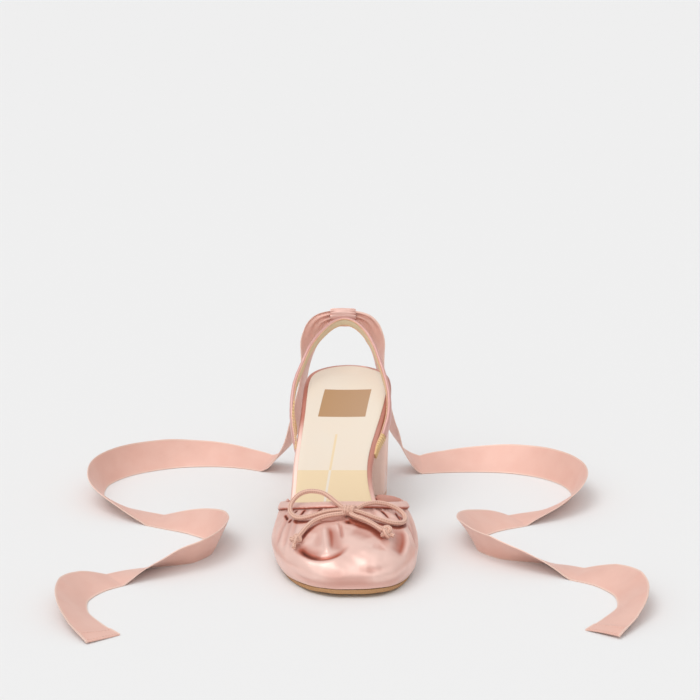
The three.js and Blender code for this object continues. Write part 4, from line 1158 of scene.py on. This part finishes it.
def heel_rings(levels, height):
    straight = HEEL["breast"] + np.array((0, 0.25, 0.5, 0.8, 1.2, 1.8, 2.4, 4, 8, 12, 16))
    curved = mix(192, LAST[-1, 0] - HEEL["inset"] / 2, np.sin(np.linspace(0, math.pi / 2, 34)))
    y = np.concatenate((straight, curved))
    lefts, rights = [], []
    for level in levels:
        left, right = heel_rows(y, 1 - level)
        left[:, 2], right[:, 2] = height(left[:, 1], level), height(right[:, 1], level)
        lefts.append(left)
        rights.append(right)
    return np.stack(lefts + rights[::-1], axis=1)


def make_heel(settings):
    """The block heel wrapped in satin, with its rubber lift."""
    under_lift = HEEL["lift_thick"]
    levels = np.linspace(0, 1, 30)
    rings = heel_rings(levels, lambda y, level: mix(
        under_lift + MEET_GAP, footbed_top(y) - FOOTBED_THICK["waist"] - MEET_GAP * 0.4, level))
    way = unit(rings - rings.mean(axis=1, keepdims=True))
    way[..., 2] = 0
    rings = rings + way * (0.16 * ripple(rings * (1, 1, 0.35), 13, 21))[..., None]
    materials = finishes(settings)
    cover = add_piece("lit_heel_satin", *lofted(rings), [materials["heel"]], "satin", ["block_heel"],
                      {"fold": np.full(rings.shape[:2], 0.08)})
    round_edges(cover, 0.7)
    rings = heel_rings((0, 0.015, 0.03), lambda y, level: 0 * y + under_lift * level / 0.03)
    lift = add_piece("heel_lift_rubber", *lofted(rings), [materials["rubber"]], "heel_lift",
                     ["heel_lift"])
    round_edges(lift, 0.6)


def strap_frame(share):
    """The strap's middle line with its ways up and inward, its width and its thickness."""
    middle = Spline(SLING[:, :3])
    way = middle.direction(np.clip(share, 1e-4, 1 - 1e-4))
    up = np.array((0.0, 0.0, 1.0)) - way * way[:, 2:]
    up = turned(unit(up), way, column(SLING, 4, share))
    return (middle.at(share), up, np.cross(way, up), column(SLING, 3, share),
            column(SLING, 5, share))


def strap_band(share, wide_share, thick, inward, sides=24, square=0.5, relief=None):
    """A band along the strap: rings of a flat section with rounded edges.

    thick and inward are given as shares of the strap's own thickness.
    """
    centre, up, inner, wide, deep_all = strap_frame(share)
    angles = np.linspace(0, 2 * np.pi, sides, endpoint=False)
    over = signed_power(np.cos(angles), square) * 0.5
    deep = signed_power(np.sin(angles), square) * 0.5
    rings = (centre + inner * (inward * deep_all)[:, None])[:, None] + up[:, None] * (
        over[:, None] * (wide * wide_share)[:, None, None]) + inner[:, None] * (
        deep[:, None] * (thick * deep_all)[:, None, None])
    if relief is not None:
        rings = rings + inner[:, None] * (relief(share, over) * np.sign(deep))[..., None]
    return rings


def add_outer_elastic(materials, length, pitch):
    """The elastic gusset between the strap's outer end and the footbed's rim."""
    first, last = ELASTIC["outer"]
    t = np.linspace(0, 1, 190)
    centre, up, inner, wide, thick = strap_frame(mix(first, last, t))
    outer_line = centre + inner * (thick * mix(0.0, 0.45, ease(0.75, 1, t)))[:, None] + (
        up * (wide * 0.5 + 0.15)[:, None])
    rim = edge_point("lateral", share_at(centre[:, 1]), 0.6)
    rim[:, 2] = np.minimum(rim[:, 2] - 0.8, outer_line[:, 2])
    inner_line = mix(outer_line, rim, (0.06 + 0.94 * ease(1.0, 0.5, t))[:, None])
    across = np.linspace(0, 1, 15)
    face = unit(np.cross(np.gradient(centre, axis=0), inner_line - outer_line))
    face = face * np.sign(face[:, 2:])
    wave = np.sin(2 * np.pi * (t * length * last)[:, None] / pitch + 1.4 * np.sin(across * 7))
    body = outer_line[:, None] + (inner_line - outer_line)[:, None] * across[None, :, None]
    puff = (0.4 + 0.3 * wave) * np.sqrt(np.sin(np.pi * np.clip(across, 0.02, 0.98)))
    rings = np.concatenate((body + face[:, None] * puff[..., None],
                            (body - face[:, None] * 0.4)[:, ::-1]), axis=1)
    # Painted shade in the troughs between the elastic's ridges
    dark = np.clip(0.15 - wave * 0.8, 0, 1)
    add_piece("strap_elastic_outer", *lofted(rings), [materials["elastic"]], "satin_dusty", (),
              {"fold": np.concatenate((dark, dark[:, ::-1]), axis=1)}, sharp=80)


def add_inner_elastic(materials, length, pitch):
    """The elastic that lies inside the satin and comes out of it at the strap's inner end."""
    t = np.linspace(*ELASTIC["inner"], 200)

    def ruche(at, over):
        wave = np.sin(2 * np.pi * at * length / pitch)
        return 0.22 * wave[:, None] * (0.75 + 0.25 * np.cos(over * 9 + at[:, None] * 80))

    out = ease(*ELASTIC["comes_out"], t)[:, None, None]
    wrapped = strap_band(t, 0.98, 1.0, 0.05, 24, 0.6, ruche)
    tucked = strap_band(t, 0.7, 0.4, 0.46, 24, 0.6, ruche)
    # Painted shade in the troughs between the elastic's ridges
    dark = np.clip(0.1 - 3.4 * ruche(t, np.linspace(-0.5, 0.5, 24)), 0, 1)
    add_piece("strap_elastic_inner", *lofted(mix(tucked, wrapped, out)), [materials["elastic"]],
              "satin_dusty", (), {"fold": dark}, sharp=80)


def make_strap(settings):
    """The sling strap: padded bias satin, leather lining, piped edges and ruched elastic."""
    materials = finishes(settings)
    share = np.linspace(0, ELASTIC["satin_ends"], 300)
    rings = strap_band(share, 1.0, 1.0, 0, 28, 0.72)
    centre = strap_frame(share)[0][:, None]
    rings = rings + unit(rings - centre) * (
        0.08 * ripple(rings, 5.5, 31) + 0.08 * ripple(rings, 14, 32))[..., None]
    add_piece("strap_satin", *lofted(rings), [materials["strap"]], "satin_dusty", ["sling_strap"],
              {"fold": np.full(rings.shape[:2], 0.1)}, sharp=70)
    lined = np.linspace(ELASTIC["outer"][1], ELASTIC["lining_ends"], 220)
    add_piece("strap_lining", *lofted(strap_band(lined, 0.62, 0.3, 0.43, 20, 0.5)),
              [materials["strap_lining"]], "satin_dusty")
    share = np.linspace(0, 1, 330)
    centre, up, inner, wide, thick = strap_frame(share)
    piped = []
    for edge in (-0.36, 0.4):
        line = centre + up * (edge * wide)[:, None] + inner * (thick * 0.46)[:, None]
        piped.append(lofted(tube(line, settings.piping_wide / MM / 2, 8)))
    add_piece("strap_piping", *joined(piped), [materials["piping"]], "satin_dusty")
    length, pitch = Spline(SLING[:, :3]).length, settings.ruche_pitch / MM
    add_outer_elastic(materials, length, pitch)
    add_inner_elastic(materials, length, pitch)


def make_keeper(settings):
    """The keeper: a satin loop sewn behind the strap, puckered and stitched at both mouths."""
    turns, steps = 96, 26
    angles = np.linspace(0, 2 * np.pi, turns, endpoint=False)
    along = np.linspace(-1, 1, steps)
    mouth = np.abs(along) ** 3
    rings = []
    for angle in angles:
        way = np.array((math.cos(angle), float(signed_power(math.sin(angle), KEEPER["square"]))))
        pucker = 0.45 * np.sin(angle * 15) * (0.25 + mouth) + 0.12 * np.sin(angle * 6 + along * 4)
        wall = []
        for inset, part in ((0.0, along), (KEEPER["wall"] * 0.8, along[::-1])):
            draw = inset + 0.9 * np.abs(part) ** 4 - (pucker if inset == 0 else pucker[::-1] * 0.8)
            wall.append(np.stack((
                KEEPER["x"] + part * KEEPER["long"] / 2,
                KEEPER["y"] + way[0] * (KEEPER["deep"] / 2 - draw * 0.45),
                KEEPER["z"] + way[1] * (KEEPER["tall"] / 2 - draw)), axis=1))
        rings.append(np.concatenate(wall))
    rings = np.array(rings)
    # Painted shade inside the loop and in the troughs of its puckers
    fold = np.zeros(rings.shape[:2])
    fold[:, steps:] = 0.6
    for i, angle in enumerate(angles):
        fold[i, :steps] = np.clip(-0.9 * math.sin(angle * 15) * (0.25 + mouth), 0, 1)
    materials = finishes(settings)
    add_piece("keeper_satin", *lofted(rings, endless=True), [materials["bias"]], "satin_dusty",
              ["ribbon_keeper"], {"fold": fold})
    thread = settings.thread_wide / MM
    sewn = []
    for row in (2, 4, steps - 5, steps - 3):
        for i in range(0, turns, 4):
            # No stitches where the keeper lies against the strap
            if not 30 < i < 66:
                out = np.array((0.0, math.cos(angles[i]), math.sin(angles[i])))
                sewn.append(stitch(rings[i, row], rings[(i + 2) % turns, row], out, thread))
    add_piece("keeper_stitches", *joined(sewn), [materials["thread"]], "satin_dusty")


def make_stage(settings):
    """A pale floor, soft studio light and the camera at the photo's angle."""
    scene = bpy.context.scene
    material, tree, surface, _ = new_material("Matt_painted_floor")
    feed(tree, surface, {"Base Color": settings.floor, "Roughness": 0.9,
                         "Specular IOR Level": 0.1})
    bpy.ops.mesh.primitive_plane_add(size=24)
    floor = bpy.context.active_object
    floor.name = "studio_floor"
    floor.data.materials.append(material)
    world = bpy.data.worlds.new("Studio")
    world.use_nodes = True
    tree = world.node_tree
    way = add_node(tree, "TexCoord", {}, "Generated")
    # The room is paler overhead than at eye level, and a broad softbox hangs before the toe
    height = add_node(tree, "SeparateXYZ", {"Vector": way}, "Z")
    room = add_node(tree, "MapRange", {
        0: height, 1: 0.0, 2: 0.9, 3: settings.room_low, 4: settings.room_high})
    facing = add_node(tree, "VectorMath", {0: way, 1: SOFTBOX_WAY}, "Value",
                      operation="DOT_PRODUCT")
    box = add_node(tree, "MapRange", {0: facing, 1: 0.72, 2: 0.95, 3: 0.0, 4: settings.softbox},
                   interpolation_type="SMOOTHSTEP")
    feed(tree, tree.nodes["Background"], {
        "Strength": add_node(tree, "Math", {0: room, 1: box}, operation="ADD"),
        "Color": (1.0, 1.0, 1.0, 1.0)})
    scene.world = world
    light = bpy.data.lights.new("Key", "SUN")
    light.angle = math.radians(settings.key_angle)
    light.energy = settings.key_power
    lamp = bpy.data.objects.new("Key", light)
    lamp.rotation_euler = Vector(KEY_WAY).to_track_quat("Z", "Y").to_euler()
    scene.collection.objects.link(lamp)
    camera = bpy.data.cameras.new("Camera")
    camera.lens = settings.lens
    camera.sensor_width = 36
    seat = bpy.data.objects.new("Camera", camera)
    seat.location = settings.camera_place
    seat.rotation_euler = (math.radians(90) - settings.camera_pitch, 0, 0)
    scene.collection.objects.link(seat)
    scene.camera = seat
    scene.view_settings.view_transform = "Standard"
    scene.view_settings.look = "None"


MATERIALS = {}


def finishes(s):
    """The shoe's materials, made once from the colours in the panel."""
    if not MATERIALS:
        MATERIALS.update(
            satin=duchess_satin("Duchess_satin", s.satin, s.satin_shade_and_cloud),
            satin_wrap=duchess_satin("Duchess_satin_on_board", s.satin, s.satin_shade_and_cloud, 0.3),
            # The heel wears a paler, lit copy of the satin: painted light
            heel=duchess_satin("Duchess_satin_on_heel", s.lit_heel_satin, s.satin_shade_and_cloud, 0.3,
                               (0.5, 0.5, 14)),
            bias=duchess_satin("Bias_cut_satin", s.bias_satin, s.satin_shade_and_cloud, 0.25, (3, 0.6, 2)),
            strap=duchess_satin("Padded_bias_satin", s.strap_satin, s.satin_shade_and_cloud, 0.2, (3, 0.6, 2)),
            lining=lining_leather("Pink_lining_cloth", s.lining, s.satin_shade_and_cloud, 0.5, 0.7),
            ribbon=ribbon_satin("Satin_ribbon", s.ribbon, s.ribbon_deep, s.selvedge),
            cord=braided_rayon("Braided_rayon_cord", s.cord, s.cord_deep),
            thread=sewing_thread("Sewing_thread", s.selvedge),
            sock=two_tone_sock("Sock_leather", s),
            strap_lining=lining_leather("Tan_lining_leather", s.strap_tan, s.sock_tan),
            piping=lining_leather("Edge_piping", s.piping, s.strap_tan),
            elastic=braided_rayon("Ruched_elastic", s.elastic, s.elastic_deep),
            sole=sole_leather("Sole_leather", s.sole, s.sole_deep),
            sole_edge=sole_leather("Burnished_sole_edge", s.sole_edge, s.sole_deep),
            rubber=moulded_rubber("Heel_rubber", s.rubber, s.cord),
        )
    return MATERIALS


# The panel's sizes and colours

def measure(name, description, millimetres):
    return FloatProperty(name=name, description=description, default=millimetres * MM, min=0,
                         unit="LENGTH", precision=5)


def amount(name, description, value):
    return FloatProperty(name=name, description=description, default=value, min=0)


def colour(name, description, code):
    return FloatVectorProperty(name=name, description=description, default=linear(code), size=4,
                               min=0, max=1, subtype="COLOR")


class ShoeSettings(bpy.types.PropertyGroup):
    """Sizes, colours and studio of the shoe"""

    ribbon_thick: measure("Ribbon thickness", "Thickness of the tie's ribbon", 0.45)
    hem_long: measure("Hem", "Length of the fold sewn at a tie's end", 10)
    thread_wide: measure("Thread", "Width of a stitch's thread", 0.42)
    cord_wide: measure("Bow cord", "Diameter of the bow's cord", 3.0)
    braid_pitch: measure("Braid pitch", "Length of one crossing of the cord's strands", 1.5)
    gather_pitch: measure("Gathers", "Distance between two gathers under the casing", 5.2)
    piping_wide: measure("Piping", "Diameter of the piping along the strap's lining", 0.7)
    ruche_pitch: measure("Ruching", "Distance between two ridges of the ruched elastic", 1.9)
    pleat_depth: FloatProperty(name="Pleat depth",
                               description="Depth of the toe's pleats against the photo's",
                               default=1.0, min=0, max=1.5, subtype="FACTOR")
    satin: colour("Satin", "Toe, footbed and wings", "F5CFC3")
    # Painted shade: the colour mixed into the satin in its folds; the lining takes it as its cloudy
    # tone
    satin_shade_and_cloud: colour("Satin in folds", "The satin's colour deep in a fold", "B5614C")
    bias_satin: colour("Bias satin", "Casing and keeper", "EEC6BA")
    strap_satin: colour("Strap satin", "Outside of the sling strap", "DBACA5")
    # Paler than the toe's satin: painted light where the front light falls on the block heel
    lit_heel_satin: colour("Heel satin", "Block heel", "FBDFD2")
    lining: colour("Upper lining", "Inside of the toe", "CF9484")
    ribbon: colour("Ribbon", "Ties", "EDC0B1")
    ribbon_deep: colour("Ribbon shade", "Darker threads of the ties", "E2AA99")
    selvedge: colour("Selvedge", "Edges and stitches of the ties", "F0CDBE")
    cord: colour("Bow cord colour", "Strands of the bow's cord", "E6BCA9")
    cord_deep: colour("Bow cord shade", "Between the strands", "94573F")
    sock_cream: colour("Sock cream", "Sock lining at the heel", "ECDDCB")
    sock_shade: colour("Sock shade", "Cloudy parts of the cream", "E9DECF")
    sock_tan: colour("Sock tan", "Sock lining at the ball", "ECD4AE")
    # Both ends of the painted reflection across the foil
    patch_light: colour("Patch light", "Bare foil patch, light side", "BC9675")
    patch_dark: colour("Patch dark", "Bare foil patch, dark side", "B88F66")
    strap_tan: colour("Strap lining", "Inside of the sling strap", "DDCBAA")
    piping: colour("Piping colour", "Edges of the strap's lining", "E7B48F")
    elastic: colour("Elastic", "Ruched elastic at the strap's ends", "E8C48E")
    elastic_deep: colour("Elastic shade", "Between the elastic's ridges", "B58A58")
    sole: colour("Sole", "Outsole", "CDA16C")
    sole_edge: colour("Sole edge", "Outsole's edge", "C4976C")
    sole_deep: colour("Sole shade", "Darker fibres of the sole", "9A6A38")
    rubber: colour("Heel rubber", "Heel lift", "DDB8A4")
    floor: colour("Floor", "Studio floor", "EBEBEB")
    room_low: amount("Room light low", "Room's brightness at eye level", 0.48)
    room_high: amount("Room light high", "Room's brightness overhead", 0.76)
    softbox: amount("Softbox", "Brightness of the softbox before the toe", 0.85)
    key_power: amount("Key light", "Strength of the soft key light", 0.6)
    key_angle: amount("Key size", "Key light's breadth in degrees", 35)
    lens: FloatProperty(name="Lens", description="Camera's focal length in millimetres",
                        default=104.97, min=10, unit="CAMERA")
    camera_place: FloatVectorProperty(name="Camera", description="Camera's place",
                                      default=(0.00325, -1.2415, 0.4617), subtype="TRANSLATION")
    camera_pitch: FloatProperty(name="Camera pitch", description="How far the camera looks down",
                                default=math.radians(15.34), subtype="ANGLE")


# Operators, one for each piece or group of like pieces

class SHOE_OT_stage(bpy.types.Operator):
    """Adds the floor, the studio's light and the camera"""

    bl_idname = "shoe.stage"
    bl_label = "Stage"

    def execute(self, context):
        make_stage(context.scene.shoe)
        return {"FINISHED"}


class SHOE_OT_ribbon_ties(bpy.types.Operator):
    """Adds both ribbon ties, laid down from the keeper"""

    bl_idname = "shoe.ribbon_ties"
    bl_label = "Ribbon ties"

    def execute(self, context):
        make_tie(context.scene.shoe, "tie_outer", "ribbon_tie_outer", TIE_OUTER)
        make_tie(context.scene.shoe, "tie_inner", "ribbon_tie_inner", TIE_INNER)
        return {"FINISHED"}


class SHOE_OT_bow(bpy.types.Operator):
    """Adds the bow's two cords and its knots"""

    bl_idname = "shoe.bow"
    bl_label = "Bow"

    def execute(self, context):
        make_bow(context.scene.shoe)
        return {"FINISHED"}


class SHOE_OT_upper(bpy.types.Operator):
    """Adds the pleated satin upper with its lining"""

    bl_idname = "shoe.upper"
    bl_label = "Upper"

    def execute(self, context):
        make_upper(context.scene.shoe)
        return {"FINISHED"}


class SHOE_OT_casing(bpy.types.Operator):
    """Adds the drawstring casing over the topline"""

    bl_idname = "shoe.casing"
    bl_label = "Casing"

    def execute(self, context):
        make_casing(context.scene.shoe)
        return {"FINISHED"}


class SHOE_OT_footbed(bpy.types.Operator):
    """Adds the satin footbed and its sock lining"""

    bl_idname = "shoe.footbed"
    bl_label = "Footbed and sock"

    def execute(self, context):
        make_footbed(context.scene.shoe)
        make_sock(context.scene.shoe)
        return {"FINISHED"}


class SHOE_OT_sole(bpy.types.Operator):
    """Adds the leather outsole"""

    bl_idname = "shoe.sole"
    bl_label = "Outsole"

    def execute(self, context):
        make_outsole(context.scene.shoe)
        return {"FINISHED"}


class SHOE_OT_heel(bpy.types.Operator):
    """Adds the satin block heel and its lift"""

    bl_idname = "shoe.heel"
    bl_label = "Block heel"

    def execute(self, context):
        make_heel(context.scene.shoe)
        return {"FINISHED"}


class SHOE_OT_strap(bpy.types.Operator):
    """Adds the sling strap with its lining, piping and elastic"""

    bl_idname = "shoe.strap"
    bl_label = "Sling strap"

    def execute(self, context):
        make_strap(context.scene.shoe)
        return {"FINISHED"}


class SHOE_OT_keeper(bpy.types.Operator):
    """Adds the ribbon keeper behind the strap"""

    bl_idname = "shoe.keeper"
    bl_label = "Ribbon keeper"

    def execute(self, context):
        make_keeper(context.scene.shoe)
        return {"FINISHED"}


OPERATORS = (SHOE_OT_stage, SHOE_OT_ribbon_ties, SHOE_OT_bow, SHOE_OT_upper, SHOE_OT_casing,
             SHOE_OT_footbed, SHOE_OT_sole, SHOE_OT_heel, SHOE_OT_strap, SHOE_OT_keeper)


class SHOE_PT_panel(bpy.types.Panel):
    """Lists the shoe's operators with its sizes and colours"""

    bl_idname = "SHOE_PT_panel"
    bl_label = "Satin slingback"
    bl_space_type = "VIEW_3D"
    bl_region_type = "UI"
    bl_category = "Shoe"

    def draw(self, context):
        for operator in OPERATORS:
            self.layout.operator(operator.bl_idname)
        for name in ShoeSettings.__annotations__:
            self.layout.prop(context.scene.shoe, name)


CLASSES = (ShoeSettings, *OPERATORS, SHOE_PT_panel)


def register():
    for cls in CLASSES:
        bpy.utils.register_class(cls)
    bpy.types.Scene.shoe = PointerProperty(type=ShoeSettings)


def unregister():
    del bpy.types.Scene.shoe
    for cls in reversed(CLASSES):
        bpy.utils.unregister_class(cls)


def main():
    register()
    for step in (bpy.ops.shoe.stage, bpy.ops.shoe.ribbon_ties, bpy.ops.shoe.bow, bpy.ops.shoe.upper,
                 bpy.ops.shoe.casing, bpy.ops.shoe.footbed, bpy.ops.shoe.sole, bpy.ops.shoe.heel,
                 bpy.ops.shoe.strap, bpy.ops.shoe.keeper):
        step()


if __name__ == "__main__":
    main()
